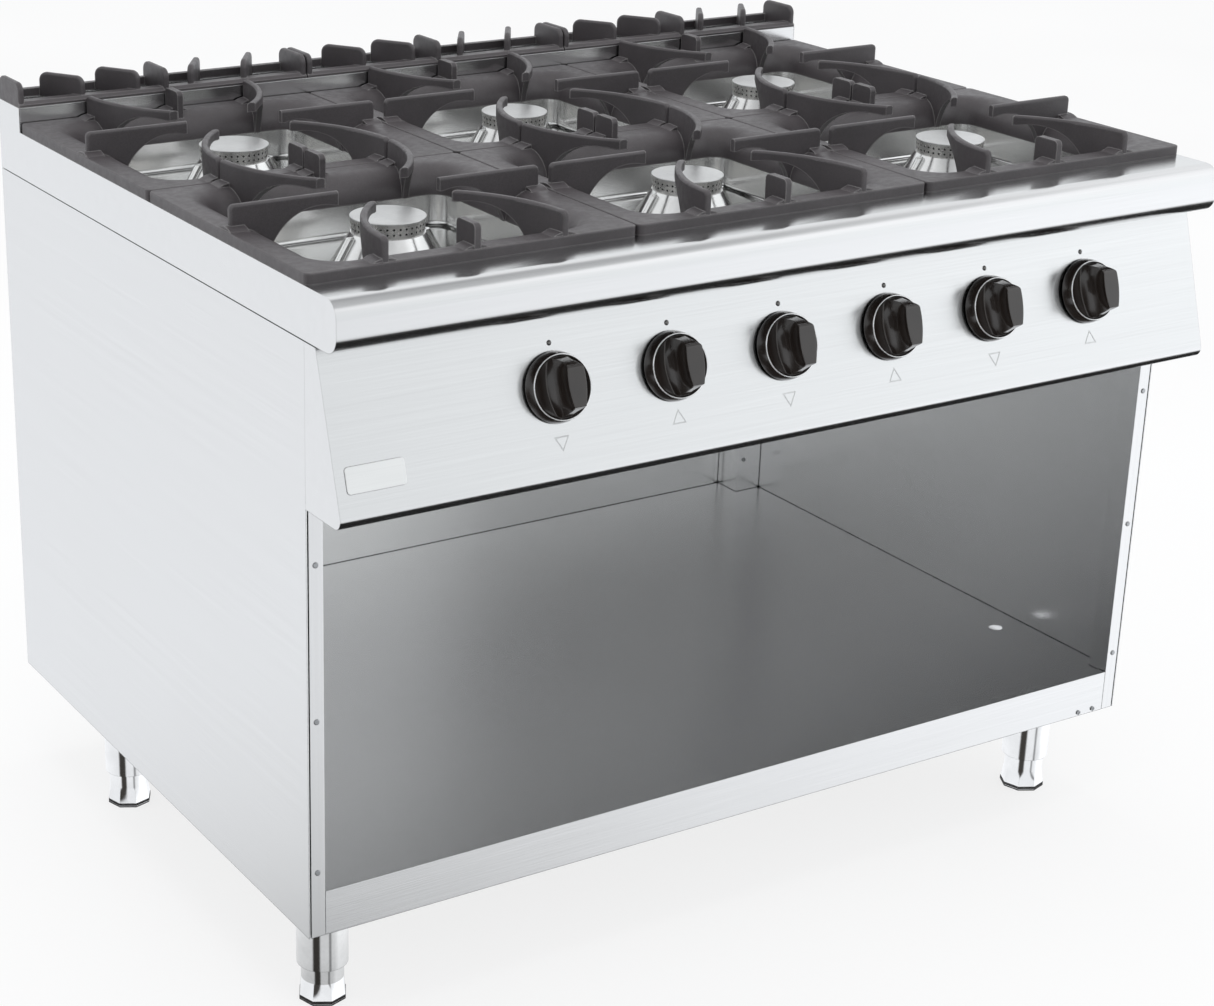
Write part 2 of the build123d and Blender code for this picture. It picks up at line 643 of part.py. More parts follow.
def burner_well():
    """Pressed drip well about the cell's centre: flange, walls and floor."""
    flange_x = CELL_X / 2 - DECK_LEDGE - SEAM
    flange_y = CELL_Y / 2 - DECK_LEDGE - SEAM
    half_x = CELL_X / 2 - WELL_INSET
    half_y = CELL_Y / 2 - WELL_INSET
    top = WELL_SHELF_Z + WELL_SHEET
    flange = slab(flange_x, flange_y, DECK_CORNER - SEAM, WELL_SHELF_Z, top)
    shell = slab(half_x + WELL_SHEET, half_y + WELL_SHEET, WELL_CORNER + WELL_SHEET, WELL_FLOOR_Z, top)
    shell = fillet(shell.faces().sort_by(Axis.Z)[0].edges(), 7.0)
    cavity = slab(half_x, half_y, WELL_CORNER, WELL_FLOOR_Z + WELL_SHEET, top)
    cavity = fillet(cavity.faces().sort_by(Axis.Z)[0].edges(), 6.0)
    hole = rod(WELL_HOLE, WELL_FLOOR_Z - 1, WELL_FLOOR_Z + 2 * WELL_SHEET)
    return flange + shell - cavity - hole


# ---------------------------------------------------------------- burner
def burner_body():
    """Cone, top cup and mixing tube in one casting, with two slanting probe sleeves."""
    floor = WELL_FLOOR_Z + WELL_SHEET
    slope = (BURNER_FOOT - BURNER_NECK) / (BURNER_TOP_Z - floor - 3)
    web_low = BURNER_WEB_Z - BURNER_WALL
    web_radius = BURNER_NECK + (BURNER_TOP_Z - web_low) * slope - BURNER_WALL
    profile = make_face(Polyline(
        (MIXING_BORE, MIXING_BOTTOM_Z),
        (MIXING_RADIUS, MIXING_BOTTOM_Z),
        (MIXING_RADIUS, web_low),
        (web_radius, web_low),
        (BURNER_FOOT - BURNER_WALL, floor + 3),
        (BURNER_FOOT - BURNER_WALL, floor),
        (BURNER_FLANGE, floor),
        (BURNER_FLANGE, floor + 3),
        (BURNER_FOOT, floor + 3),
        (BURNER_NECK, BURNER_TOP_Z),
        (CROWN_BORE, BURNER_TOP_Z),
        (CROWN_BORE, BURNER_WEB_Z),
        (MIXING_BORE, BURNER_WEB_Z),
        close=True,
    ))
    body = revolve(Plane.XZ * profile, Axis.Z)
    for side in (-1, 1):
        body += sleeve(side, PROBE_SLEEVE_RADIUS)
    for side in (-1, 1):
        body -= sleeve(side, PROBE_BORE, extra=1.0)
    return body


def sleeve(side, radius, extra=0.0):
    """A slanting cylinder up the outside of the cone, cut level at both ends."""
    floor = WELL_FLOOR_Z + WELL_SHEET
    slope = (BURNER_FOOT - BURNER_NECK) / (BURNER_TOP_Z - floor - 3)
    lean = math.degrees(math.atan(slope))
    low = floor + 1 - extra
    high = BURNER_TOP_Z - 3 + extra
    middle_z = (low + high) / 2
    middle_r = BURNER_NECK + PROBE_SLEEVE_OFFSET + (BURNER_TOP_Z - middle_z) * slope
    tube = Pos(side * middle_r, 0, middle_z) * Rot(0, -side * lean, 0) * Cylinder(radius, 90)
    keep = block(-120, 120, -120, 120, low, high)
    return tube & keep


def flame_probe():
    """Flame-failure probe inside one sleeve, its tip just under the crown."""
    return sleeve(-1, PROBE_RADIUS, extra=PROBE_TIP)


def burner_crown():
    """Flame ring about the burner's axis, its fine ports left out of the solid."""
    profile = make_face(Polyline(
        (CROWN_BORE, BURNER_TOP_Z),
        (CROWN_RADIUS_LOW, BURNER_TOP_Z),
        (CROWN_RADIUS_HIGH, CROWN_TOP_Z),
        (CROWN_BORE, CROWN_TOP_Z),
        close=True,
    ))
    return revolve(Plane.XZ * profile, Axis.Z)


def burner_cap():
    """Flat lid with a spigot that centres it in the crown."""
    lid = rod(CAP_RADIUS, CROWN_TOP_Z, CROWN_TOP_Z + CAP_THICKNESS)
    lid = fillet(lid.edges().sort_by(Axis.Z)[-1], CAP_THICKNESS / 2)
    spigot = rod(CAP_SPIGOT, CROWN_TOP_Z - CAP_SPIGOT_DEPTH, CROWN_TOP_Z)
    hollow = rod(CAP_SPIGOT - 3, CROWN_TOP_Z - CAP_SPIGOT_DEPTH, CROWN_TOP_Z - 1)
    return lid + (spigot - hollow)


# ---------------------------------------------------------------- grate
def bell_mouth(half_x, half_y, corner, radius, low, high, outer_x, outer_y):
    """A slab with an opening whose upper edge is rounded over by the radius."""
    spare = 2.0
    plate = slab(outer_x, outer_y, GRATE_CORNER, low - spare, high)
    plate -= slab(half_x, half_y, corner, low - spare, high)
    upper = plate.faces().sort_by(Axis.Z)[-1]
    plate = fillet(upper.inner_wires()[0].edges(), radius)
    return plate - slab(outer_x, outer_y, GRATE_CORNER, low - spare, low)


def grate_rim():
    """Rim and apron: a flat border that rolls down into the opening."""
    outer_x = (CELL_X - GRATE_GAP) / 2
    outer_y = (CELL_Y - GRATE_GAP) / 2
    open_x = outer_x - RIM_FLAT - APRON_RADIUS
    open_y = outer_y - RIM_FLAT - APRON_RADIUS
    skin = bell_mouth(open_x, open_y, APRON_CORNER, APRON_RADIUS, APRON_BOTTOM, RIM_TOP,
                      outer_x, outer_y)
    under = bell_mouth(open_x + APRON_WALL, open_y + APRON_WALL, APRON_CORNER + APRON_WALL,
                       APRON_RADIUS - APRON_WALL, APRON_BOTTOM, RIM_TOP - APRON_WALL,
                       outer_x - RIM_WALL, outer_y - RIM_WALL)
    low = DECK_TOP
    outside = slab(outer_x, outer_y, GRATE_CORNER, APRON_BOTTOM, low)
    outside -= slab(outer_x - RIM_WALL, outer_y - RIM_WALL, GRATE_CORNER, APRON_BOTTOM, low)
    rim = skin - under - outside
    return fillet(rim.faces().sort_by(Axis.Z)[-1].outer_wire().edges(), 1.5)


def fin_profile(rim, tip, opening, tip_height):
    """Side view of a fin as (distance from the centre, z), with an arched lower edge."""
    arch_top = FIN_TOP - tip_height
    low = APRON_BOTTOM
    shoulder = opening - 2.0
    middle = (tip + (shoulder - tip) * 0.75, low + (arch_top - low) * 0.72)
    arch = ThreePointArc((tip + 4, arch_top), middle, (shoulder, low))
    mid_wall = APRON_RADIUS - APRON_WALL / 2
    diagonal = mid_wall * math.sqrt(0.5)
    centre = opening + APRON_RADIUS
    rest = Polyline(
        (shoulder, low),
        (centre - mid_wall, low),
        (centre - diagonal, low + diagonal),
        (centre, low + mid_wall),
        (rim, RIM_TOP - APRON_WALL),
        (rim, FIN_TOP),
        (tip, FIN_TOP),
        (tip, arch_top),
        (tip + 4, arch_top),
    )
    face = make_face(Wire([*arch.edges(), *rest.edges()]))
    corner = face.vertices().sort_by_distance((rim, FIN_TOP, 0))[0]
    return fillet(corner, FIN_CORNER)


def cross_fin():
    """Straight fin on the +X side of the centre line."""
    outer_x = (CELL_X - GRATE_GAP) / 2
    opening = outer_x - RIM_FLAT - APRON_RADIUS
    profile = fin_profile(outer_x - FIN_INSET, CROSS_FIN_TIP, opening, CROSS_TIP_HEIGHT)
    fin = along_y(profile, -FIN_THICKNESS / 2, FIN_THICKNESS / 2)
    rounded = [edge for edge in fin.edges() if is_upper_side_edge(edge, Axis.Y)]
    return fillet(rounded, FIN_ROUND)


def is_upper_side_edge(edge, across):
    """True for the edges along a fin's top and its rounded shoulder."""
    along = edge.center().Z > FIN_TOP - FIN_CORNER
    return along and not (edge.geom_type == GeomType.LINE and across.is_parallel(Axis(edge)))


def arc_fin():
    """Curved fin of the +X +Y quarter: it leaves the rim square and bends to the burner."""
    outer_y = (CELL_Y - GRATE_GAP) / 2
    opening = outer_y - RIM_FLAT - APRON_RADIUS
    profile = fin_profile(outer_y - ARC_FIN_INSET, ARC_FIN_TIP_Y, opening, ARC_TIP_HEIGHT)
    height = along_x(profile, 0, CELL_X / 2)
    centre = Pos(ARC_FIN_X - ARC_FIN_RADIUS, outer_y)
    band = centre * Circle(ARC_FIN_RADIUS + FIN_THICKNESS / 2)
    band -= centre * Circle(ARC_FIN_RADIUS - FIN_THICKNESS / 2)
    band = Pos(0, 0, APRON_BOTTOM) * extrude(band, FIN_TOP - APRON_BOTTOM)
    fin = band & height
    upper = fin.faces().sort_by(Axis.Z)[-1]
    return fillet(upper.edges().filter_by(GeomType.CIRCLE), FIN_ROUND)


def stub_fin():
    """Short fin in the middle of the back edge."""
    outer_y = (CELL_Y - GRATE_GAP) / 2 - ARC_FIN_INSET
    inner_y = outer_y - STUB_LENGTH
    low = RIM_TOP - APRON_WALL
    outline = make_face(Polyline(
        (outer_y, low),
        (outer_y, FIN_TOP),
        (inner_y, FIN_TOP),
        (inner_y, low - 14),
        (inner_y + 8, low - 14),
        close=True,
    ))
    top = outline.vertices().group_by(Axis.Y)[-1]
    outline = fillet(top, FIN_CORNER)
    return along_x(outline, -FIN_THICKNESS / 2, FIN_THICKNESS / 2)


def rim_boss():
    """Low mound that carries a fin on the +Y rim, about x = 0."""
    outer_y = (CELL_Y - GRATE_GAP) / 2
    sag = ThreePointArc((-BOSS_HALF_WIDTH, RIM_TOP - 1), (0, RIM_TOP + BOSS_HEIGHT),
                        (BOSS_HALF_WIDTH, RIM_TOP - 1))
    base = Polyline((BOSS_HALF_WIDTH, RIM_TOP - 1), (-BOSS_HALF_WIDTH, RIM_TOP - 1))
    face = make_face(Wire([*sag.edges(), *base.edges()]))
    return along_y(face, outer_y - RIM_FLAT - 6, outer_y - 2)


def grate():
    """One cast grate about its cell's centre."""
    body = grate_rim()
    boss = rim_boss()
    side_shift = (CELL_X - CELL_Y) / 2
    side_boss = Pos(side_shift, 0, 0) * Rot(0, 0, -90) * boss
    for turned in (cross_fin(), side_boss):
        body += turned
        body += mirror(turned, Plane.YZ)
    quarter = [arc_fin(), Pos(ARC_FIN_X, 0, 0) * boss]
    for piece in quarter:
        for other in (piece, mirror(piece, Plane.YZ)):
            body += other
            body += mirror(other, Plane.XZ)
    for piece in (stub_fin(), boss):
        body += piece
        body += mirror(piece, Plane.XZ)
    return body


# ---------------------------------------------------------------- flue
def flue_riser():
    """Low channel round the flue outlet, between the raised sides of the hob."""
    half = HALF_WIDTH - SHEET
    solid = block(-half, half, RISER_FRONT_Y, BACK_Y, DECK_TOP, RISER_TOP)
    hollow = block(-half, half, RISER_FRONT_Y + SHEET, BACK_Y - SHEET, DECK_TOP, RISER_TOP - SHEET)
    front = RISER_FRONT_Y + RISER_FLANGE
    back = BACK_Y - RISER_FLANGE
    mouth = block(-half + RISER_FLANGE, half - RISER_FLANGE, front, back, DECK_TOP, RISER_TOP)
    return solid - hollow - mouth


def grille_fin(x, turn):
    """Upright fin of the flue grille with rounded upper corners."""
    half = (BACK_Y - RISER_FRONT_Y) / 2 - 1
    low = RISER_TOP
    outline = make_face(Polyline((-half, low), (half, low), (half, GRILLE_FIN_TOP),
                                 (-half, GRILLE_FIN_TOP), close=True))
    outline = fillet(outline.vertices().group_by(Axis.Y)[-1], GRILLE_FIN_ROUND)
    fin = along_x(outline, -FIN_THICKNESS / 2, FIN_THICKNESS / 2)
    fin = fillet(fin.faces().sort_by(Axis.Z)[-1].edges().filter_by(Axis.Y), FIN_ROUND)
    middle_y = (RISER_FRONT_Y + BACK_Y) / 2
    return Pos(x, middle_y, 0) * Rot(0, 0, turn) * fin


def flue_grille():
    """Cast grille about x = 0: a front strip and rear bar joined by upright fins."""
    half = CELL_X / 2 - GRILLE_GAP
    top = RISER_TOP + GRILLE_BASE
    body = block(-half, half, RISER_FRONT_Y, RISER_FRONT_Y + GRILLE_FRONT_STRIP, RISER_TOP, top)
    body = chamfer(body.edges().filter_by(Axis.X).sort_by(Axis.Z)[-2:].sort_by(Axis.Y)[0], 4.0)
    body += block(-half, half, BACK_Y - GRILLE_REAR_BAR, BACK_Y, RISER_TOP, top + 3)
    room = block(-half, half, RISER_FRONT_Y, BACK_Y, RISER_TOP, GRILLE_FIN_TOP + 1)
    fins = [grille_fin(side * GRILLE_END_X, 0) for side in (-1, 1)]
    fins.append(grille_fin(0.0, 0))
    for x in GRILLE_SLANTED_X:
        fins.append(grille_fin(x, -GRILLE_SLANT))
        fins.append(grille_fin(-x, GRILLE_SLANT))
    for fin in fins:
        body += fin & room
    return body


# ---------------------------------------------------------------- legs and feet
def leg():
    """Tube leg about its own axis, with its mounting plate and threaded plug."""
    plate_low = FLOOR_TOP - FLOOR_EDGE - LEG_PLATE_THICKNESS
    tube = rod(LEG_RADIUS, LEG_END_Z, plate_low)
    tube -= rod(LEG_RADIUS - LEG_WALL, LEG_END_Z, plate_low)
    plug = rod(LEG_RADIUS - LEG_WALL, LEG_PLUG_TOP - LEG_PLUG, LEG_PLUG_TOP)
    plate = Pos(0, 0, plate_low + LEG_PLATE_THICKNESS / 2) * Box(LEG_PLATE, LEG_PLATE, LEG_PLATE_THICKNESS)
    bore = rod(STUD_RADIUS + SHAFT_CLEARANCE, LEG_END_Z, LEG_PLUG_TOP)
    return tube + (plug - bore) + plate


def foot():
    """Levelling foot: stud, neck and octagonal flare over a moulded sole."""
    octagon = RegularPolygon(FOOT_ACROSS_CORNERS / 2, 8, rotation=FOOT_TURN)
    neck = Circle(FOOT_NECK_RADIUS)
    flare = loft([Pos(0, 0, FOOT_SOLE) * octagon, Pos(0, 0, FOOT_FLARE_TOP) * neck])
    shaft = rod(FOOT_NECK_RADIUS, FOOT_FLARE_TOP, FOOT_NECK_TOP)
    stud = rod(STUD_RADIUS, FOOT_NECK_TOP, STUD_TOP)
    sole = extrude(octagon, FOOT_SOLE)
    groove = Pos(0, 0, FOOT_SOLE / 2) * extrude(octagon - scale(octagon, 0.97), 1.2)
    return Compound([flare + shaft + stud, sole - groove])


# ---------------------------------------------------------------- fasteners
def rivets():
    """Domed rivets down both front posts."""
    dome = Rot(90, 0, 0) * Cylinder(RIVET_RADIUS, RIVET_HEAD)
    dome = fillet(dome.edges().sort_by(Axis.Y)[0], RIVET_HEAD * 0.6)
    middle = HALF_WIDTH - POST_WIDTH / 2 - 1
    return [
        Pos(side * middle, FRONT_Y - RIVET_HEAD / 2, level) * dome
        for side in (-1, 1)
        for level in RIVET_LEVELS
    ]


def screw():
    """Countersunk-style screw head with a cross recess, facing -Y."""
    head = Rot(90, 0, 0) * Cylinder(SCREW_RADIUS, SCREW_HEAD)
    recess = Pos(0, -SCREW_HEAD / 2, 0) * (Box(4, 1, 0.9) + Box(0.9, 1, 4))
    return head - recess


def screws():
    """Screws through the plinth and the rear post covers."""
    head = screw()
    places = [(x, FRONT_Y - SCREW_HEAD / 2, PLINTH_SCREW_Z) for x in PLINTH_SCREWS]
    post_y = BACK_PANEL_Y - REAR_POST_SIZE - SCREW_HEAD / 2
    post_x = HALF_WIDTH - REAR_POST_SIZE + 12
    places += [(side * post_x, post_y, level) for side in (-1, 1) for level in REAR_SCREW_LEVELS]
    return [Pos(*place) * head for place in places]


# ---------------------------------------------------------------- writing the pieces
def at_cells(make):
    """One copy of a piece at each burner cell."""
    piece = make()
    return [Pos(x, y, 0) * piece for x, y in CELLS]


def numbered(name, pieces):
    """Separate nodes for repeated pieces, numbered from 1."""
    return {f"{name}_{number}": piece for number, piece in enumerate(pieces, start=1)}


def all_pieces():
    """Every node's name and solid."""
    pieces = {
        "side_panel_left": mirrored(side_panel_right()),
        "side_panel_right": side_panel_right(),
        "front_posts": Compound([mirrored(front_post_right()), front_post_right()]),
        "rear_posts": Compound([mirrored(rear_post_right()), rear_post_right()]),
        "back_panel": back_panel(),
        "cabinet_floor": cabinet_floor(),
        "plinth": plinth(),
        "compartment_base": compartment_base(),
        "control_panel": control_panel(),
        "badge_plate": badge_plate(),
        "hob_top": hob_top(),
        "flue_riser": flue_riser(),
        "gas_valves": Compound(at_knobs(gas_valve)),
        "valve_springs": Compound(at_knobs(valve_spring)),
        "gas_manifold": gas_manifold(),
        "gas_pipe": gas_pipe(),
        "burner_tubes": Compound([burner_tube(index) for index in range(KNOB_COUNT)]),
        "burner_bodies": Compound(at_cells(burner_body)),
        "flame_probes": Compound(at_cells(flame_probe)),
        "burner_crowns": Compound(at_cells(burner_crown)),
        "legs": Compound([Pos(x, y, 0) * leg() for x, y in LEG_PLACES]),
        "rivets": Compound(rivets()),
        "screws": Compound(screws()),
    }
    pieces.update(numbered("burner_well", at_cells(burner_well)))
    pieces.update(numbered("burner_cap", at_cells(burner_cap)))
    pieces.update(numbered("grate", at_cells(grate)))
    pieces.update(numbered("knob", at_knobs(knob)))
    pieces.update(numbered("valve_stem", at_knobs(valve_stem)))
    grille = flue_grille()
    pieces.update(numbered("flue_grille", [Pos(x, 0, 0) * grille for x in (-CELL_X, 0.0, CELL_X)]))
    pieces.update(numbered("foot", [Pos(x, y, 0) * foot() for x, y in LEG_PLACES]))
    return pieces


def main():
    """Write every node to its own STEP file, moved so that the origin is under the middle."""
    os.makedirs("parts", exist_ok=True)
    for name, piece in all_pieces().items():
        export_step(Pos(0, FOOTPRINT_SHIFT, 0) * piece, f"parts/{name}.step")


main()
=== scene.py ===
"""Looks for the commercial gas range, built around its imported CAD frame.

Metres, +Z up, the cook stands at -Y.
"""

import json
import math

import bmesh
import bpy
from mathutils import Matrix, Vector


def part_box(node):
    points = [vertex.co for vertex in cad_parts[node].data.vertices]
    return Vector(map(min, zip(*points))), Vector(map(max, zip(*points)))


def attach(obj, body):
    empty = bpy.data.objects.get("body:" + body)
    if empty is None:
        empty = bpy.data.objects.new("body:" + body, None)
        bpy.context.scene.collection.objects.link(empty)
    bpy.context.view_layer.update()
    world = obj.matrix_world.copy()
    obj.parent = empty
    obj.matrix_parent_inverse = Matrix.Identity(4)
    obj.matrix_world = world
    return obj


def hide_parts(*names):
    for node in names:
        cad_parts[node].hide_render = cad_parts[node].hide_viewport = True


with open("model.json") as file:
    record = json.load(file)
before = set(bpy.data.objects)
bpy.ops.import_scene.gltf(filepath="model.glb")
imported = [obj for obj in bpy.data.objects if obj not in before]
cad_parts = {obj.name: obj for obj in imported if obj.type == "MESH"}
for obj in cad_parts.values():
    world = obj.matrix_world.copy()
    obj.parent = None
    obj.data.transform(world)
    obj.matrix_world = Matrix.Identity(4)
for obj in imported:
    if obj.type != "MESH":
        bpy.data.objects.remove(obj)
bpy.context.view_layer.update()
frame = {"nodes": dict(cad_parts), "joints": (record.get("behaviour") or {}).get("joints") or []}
NODES = frame["nodes"]
CELLS = range(1, 7)
FEET = range(1, 5)
RIGHTWARD = (1, 0, 0)
UPWARD = (0, 0, 1)

# ---------------------------------------------------------------- camera
# Metres and degrees. Azimuth 0 looks along +Y, and a negative one stands to the left of that.
CAMERA_PLACE = (-1.7015, -2.4926, 1.5847)
CAMERA_AZIMUTH = -30.8725
CAMERA_ELEVATION = 20.8558
CAMERA_ROLL = 0.7483
CAMERA_LENS = 74.4
CAMERA_SHIFT = (0.1293, -0.0148)
SENSOR = 36.0


def make_camera():
    """Camera where the photograph was taken from, turned by azimuth, elevation and roll."""
    data = bpy.data.cameras.new("camera")
    data.lens = CAMERA_LENS
    data.sensor_width = SENSOR
    data.shift_x, data.shift_y = CAMERA_SHIFT
    azimuth, elevation, roll = map(math.radians, (CAMERA_AZIMUTH, CAMERA_ELEVATION, CAMERA_ROLL))
    forward = Vector((
        -math.sin(azimuth) * math.cos(elevation),
        math.cos(azimuth) * math.cos(elevation),
        -math.sin(elevation),
    ))
    right = forward.cross(Vector(UPWARD)).normalized()
    up = right.cross(forward)
    side = math.cos(roll) * right + math.sin(roll) * up
    top = -math.sin(roll) * right + math.cos(roll) * up
    turn = Matrix((side, top, -forward)).transposed()
    camera = bpy.data.objects.new("camera", data)
    camera.matrix_world = Matrix.Translation(CAMERA_PLACE) @ turn.to_4x4()
    bpy.context.scene.collection.objects.link(camera)
    bpy.context.scene.camera = camera


# ---------------------------------------------------------------- node helpers
EVEN = (1, 1, 1)
SHADE_SAMPLES = 4
# Sockets of a colour mix node, which are reached by number because their names repeat.
MIX_FACTOR, MIX_FIRST, MIX_SECOND, MIX_RESULT = 0, 6, 7, 2
# Agreement of the rounded and the true normal on a flat face and at an edge.
FLAT_DOT = 0.995
EDGE_DOT = 0.85
# Painted shade: ambient occlusion within CREASE_REACH darkens the steel's colour in narrow gaps and inner
# corners.
CREASE_REACH = 0.005
CREASE_SHADE_STOPS = ((0.30, (0.10, 0.10, 0.10)), (0.72, (1.0, 1.0, 1.0)))


def add(tree, kind, inputs=None, **settings):
    """Adds a shader node; each input is a value or the socket that feeds it."""
    node = tree.nodes.new(kind)
    for key, value in settings.items():
        setattr(node, key, value)
    for key, value in (inputs or {}).items():
        if isinstance(value, bpy.types.NodeSocket):
            tree.links.new(value, node.inputs[key])
        else:
            node.inputs[key].default_value = value
    return node


def ramp(tree, factor, *stops):
    """Colour ramp through (place, colour) stops."""
    node = add(tree, "ShaderNodeValToRGB", {"Fac": factor})
    elements = node.color_ramp.elements
    while len(elements) < len(stops):
        elements.new(0.5)
    for element, (place, colour) in zip(elements, stops):
        element.position = place
        element.color = (*colour, 1)
    return node.outputs["Color"]


def spread(tree, value, low, high, new_low, new_high):
    """Maps low..high to new_low..new_high, held at both ends."""
    node = add(tree, "ShaderNodeMapRange", {
        "Value": value, "From Min": low, "From Max": high, "To Min": new_low, "To Max": new_high,
    })
    return node.outputs["Result"]


def noise(tree, scale, stretch=EVEN, detail=2.0, roughness=0.5):
    """Noise in the part's own coordinates; scale is features per metre."""
    place = add(tree, "ShaderNodeTexCoord").outputs["Object"]
    mapped = add(tree, "ShaderNodeMapping", {"Vector": place, "Scale": stretch}).outputs["Vector"]
    return add(tree, "ShaderNodeTexNoise", {
        "Vector": mapped, "Scale": scale, "Detail": detail, "Roughness": roughness,
    }).outputs["Fac"]


def mixed(tree, factor, first, second, blend="MIX"):
    """Mixes two colours."""
    node = add(tree, "ShaderNodeMix", data_type="RGBA", blend_type=blend)
    for index, value in ((MIX_FACTOR, factor), (MIX_FIRST, first), (MIX_SECOND, second)):
        if isinstance(value, bpy.types.NodeSocket):
            tree.links.new(value, node.inputs[index])
        else:
            node.inputs[index].default_value = value if index == MIX_FACTOR else (*value, 1)
    return node.outputs[MIX_RESULT]


def bumped(tree, height, strength, distance, radius=None):
    """Bump over edges rounded by radius."""
    inputs = {"Height": height, "Strength": strength, "Distance": distance}
    if radius:
        bevel = add(tree, "ShaderNodeBevel", {"Radius": radius}, samples=SHADE_SAMPLES)
        inputs["Normal"] = bevel.outputs["Normal"]
    return add(tree, "ShaderNodeBump", inputs).outputs["Normal"]


def edge_share(tree, radius):
    """0 on flat faces, rising to 1 at edges within radius."""
    bevel = add(tree, "ShaderNodeBevel", {"Radius": radius}, samples=SHADE_SAMPLES)
    normal = add(tree, "ShaderNodeNewGeometry").outputs["Normal"]
    dot = add(tree, "ShaderNodeVectorMath", {0: bevel.outputs["Normal"], 1: normal}, operation="DOT_PRODUCT")
    return spread(tree, dot.outputs["Value"], FLAT_DOT, EDGE_DOT, 0.0, 1.0)


def crease_shaded(tree, tone):
    """Painted shade: darkens a tone inside narrow gaps and along inner corners, where shade falls."""
    openness = add(tree, "ShaderNodeAmbientOcclusion", {"Distance": CREASE_REACH}, samples=SHADE_SAMPLES)
    return mixed(tree, 1.0, tone, ramp(tree, openness.outputs["AO"], *CREASE_SHADE_STOPS), "MULTIPLY")


def material(name, **constants):
    """New material and its principled shader, with constants set on the shader's own sockets."""
    made = bpy.data.materials.new(name)
    made.use_nodes = True
    shader = made.node_tree.nodes["Principled BSDF"]
    for key, value in constants.items():
        shader.inputs[key.replace("_", " ")].default_value = value
    return made, made.node_tree, shader


def wire(tree, shader, **sockets):
    """Feeds the shader's sockets."""
    for key, socket in sockets.items():
        tree.links.new(socket, shader.inputs[key.replace("_", " ")])


# ---------------------------------------------------------------- materials
# Noise scales are features per metre.
SCRATCH_SCALE = 900
SCRATCH_STRETCH = 0.006
SCRATCH_DEPTH = 0.0004
BAND_SCALE = 90
BAND_STOPS = ((0.3, (0.983, 0.983, 0.983)), (0.7, (1.0, 1.0, 1.0)))
PATCH_SCALE = 3.5
PATCH_STOPS = ((0.15, (0.97, 0.973, 0.975)), (0.85, (1.0, 1.0, 1.0)))
MARK_SCALE = 260
HAZE_SCALE = 30
PIT_DEPTH = 0.0002
IRON_GRAIN_SCALE = 900
IRON_SKIN_SCALE = 120
IRON_CLOUD_SCALE = 14
IRON_STOPS = ((0.3, (0.056, 0.050, 0.053)), (0.7, (0.074, 0.066, 0.070)))
IRON_SPECK_STOPS = ((0.35, (0.82, 0.82, 0.82)), (0.65, (1.1, 1.1, 1.1)))
IRON_EDGE_RADIUS = 0.0022
# Paler colour on the iron's edges: partly wear, partly a painted highlight.
IRON_EDGE_WEAR_AND_HIGHLIGHT = (0.24, 0.23, 0.23)
IRON_ROUND = 0.0012
PLASTIC_CLOUD_SCALE = 45
PLASTIC_SCUFF_SCALE = 700
PLASTIC_STOPS = ((0.3, (0.013, 0.0095, 0.008)), (0.7, (0.020, 0.015, 0.0125)))
PLASTIC_EDGE_RADIUS = 0.0009
# Painted highlight: a paler colour along the moulding's edges.
PLASTIC_EDGE_HIGHLIGHT = (0.060, 0.052, 0.047)
PLASTIC_ROUND = 0.0018


def brushed_steel(name, grain, colour, rough, grain_depth, streak, edge=0.0012, shade_creases=True):
    """Stainless sheet brushed along one axis; unless switched off, painted shade darkens it in gaps and
    inner corners.
    """
    made, tree, shader = material(name, Metallic=1.0, Anisotropic=0.45)
    stretch = [1.0, 1.0, 1.0]
    stretch[grain] = SCRATCH_STRETCH
    fine = noise(tree, SCRATCH_SCALE, stretch, 3.0, 0.6)
    broad = noise(tree, BAND_SCALE, stretch, 2.0)
    patch = noise(tree, PATCH_SCALE, EVEN, 3.0)
    dark = tuple(c * (1 - 2 * streak) for c in colour)
    tone = ramp(tree, fine, (0.3, dark), (0.7, colour))
    tone = mixed(tree, 1.0, tone, ramp(tree, broad, *BAND_STOPS), "MULTIPLY")
    tone = mixed(tree, 1.0, tone, ramp(tree, patch, *PATCH_STOPS), "MULTIPLY")
    wire(
        tree, shader,
        Base_Color=crease_shaded(tree, tone) if shade_creases else tone,
        Roughness=spread(tree, patch, 0.1, 0.9, rough - 0.03, rough + 0.04),
        Normal=bumped(tree, fine, grain_depth, SCRATCH_DEPTH, edge),
    )
    return made


def polished_metal(name, colour, rough, edge=0.0006, pit=0.03):
    """Bright turned or plated metal with faint handling marks."""
    made, tree, shader = material(name, Metallic=1.0)
    marks = noise(tree, MARK_SCALE, EVEN, 4.0, 0.65)
    haze = noise(tree, HAZE_SCALE, EVEN, 3.0)
    dull = tuple(c * 0.9 for c in colour)
    wire(
        tree, shader,
        Base_Color=ramp(tree, haze, (0.35, dull), (0.65, colour)),
        Roughness=spread(tree, marks, 0.3, 0.7, rough * 0.8, rough * 1.3),
        Normal=bumped(tree, marks, pit, PIT_DEPTH, edge),
    )
    return made


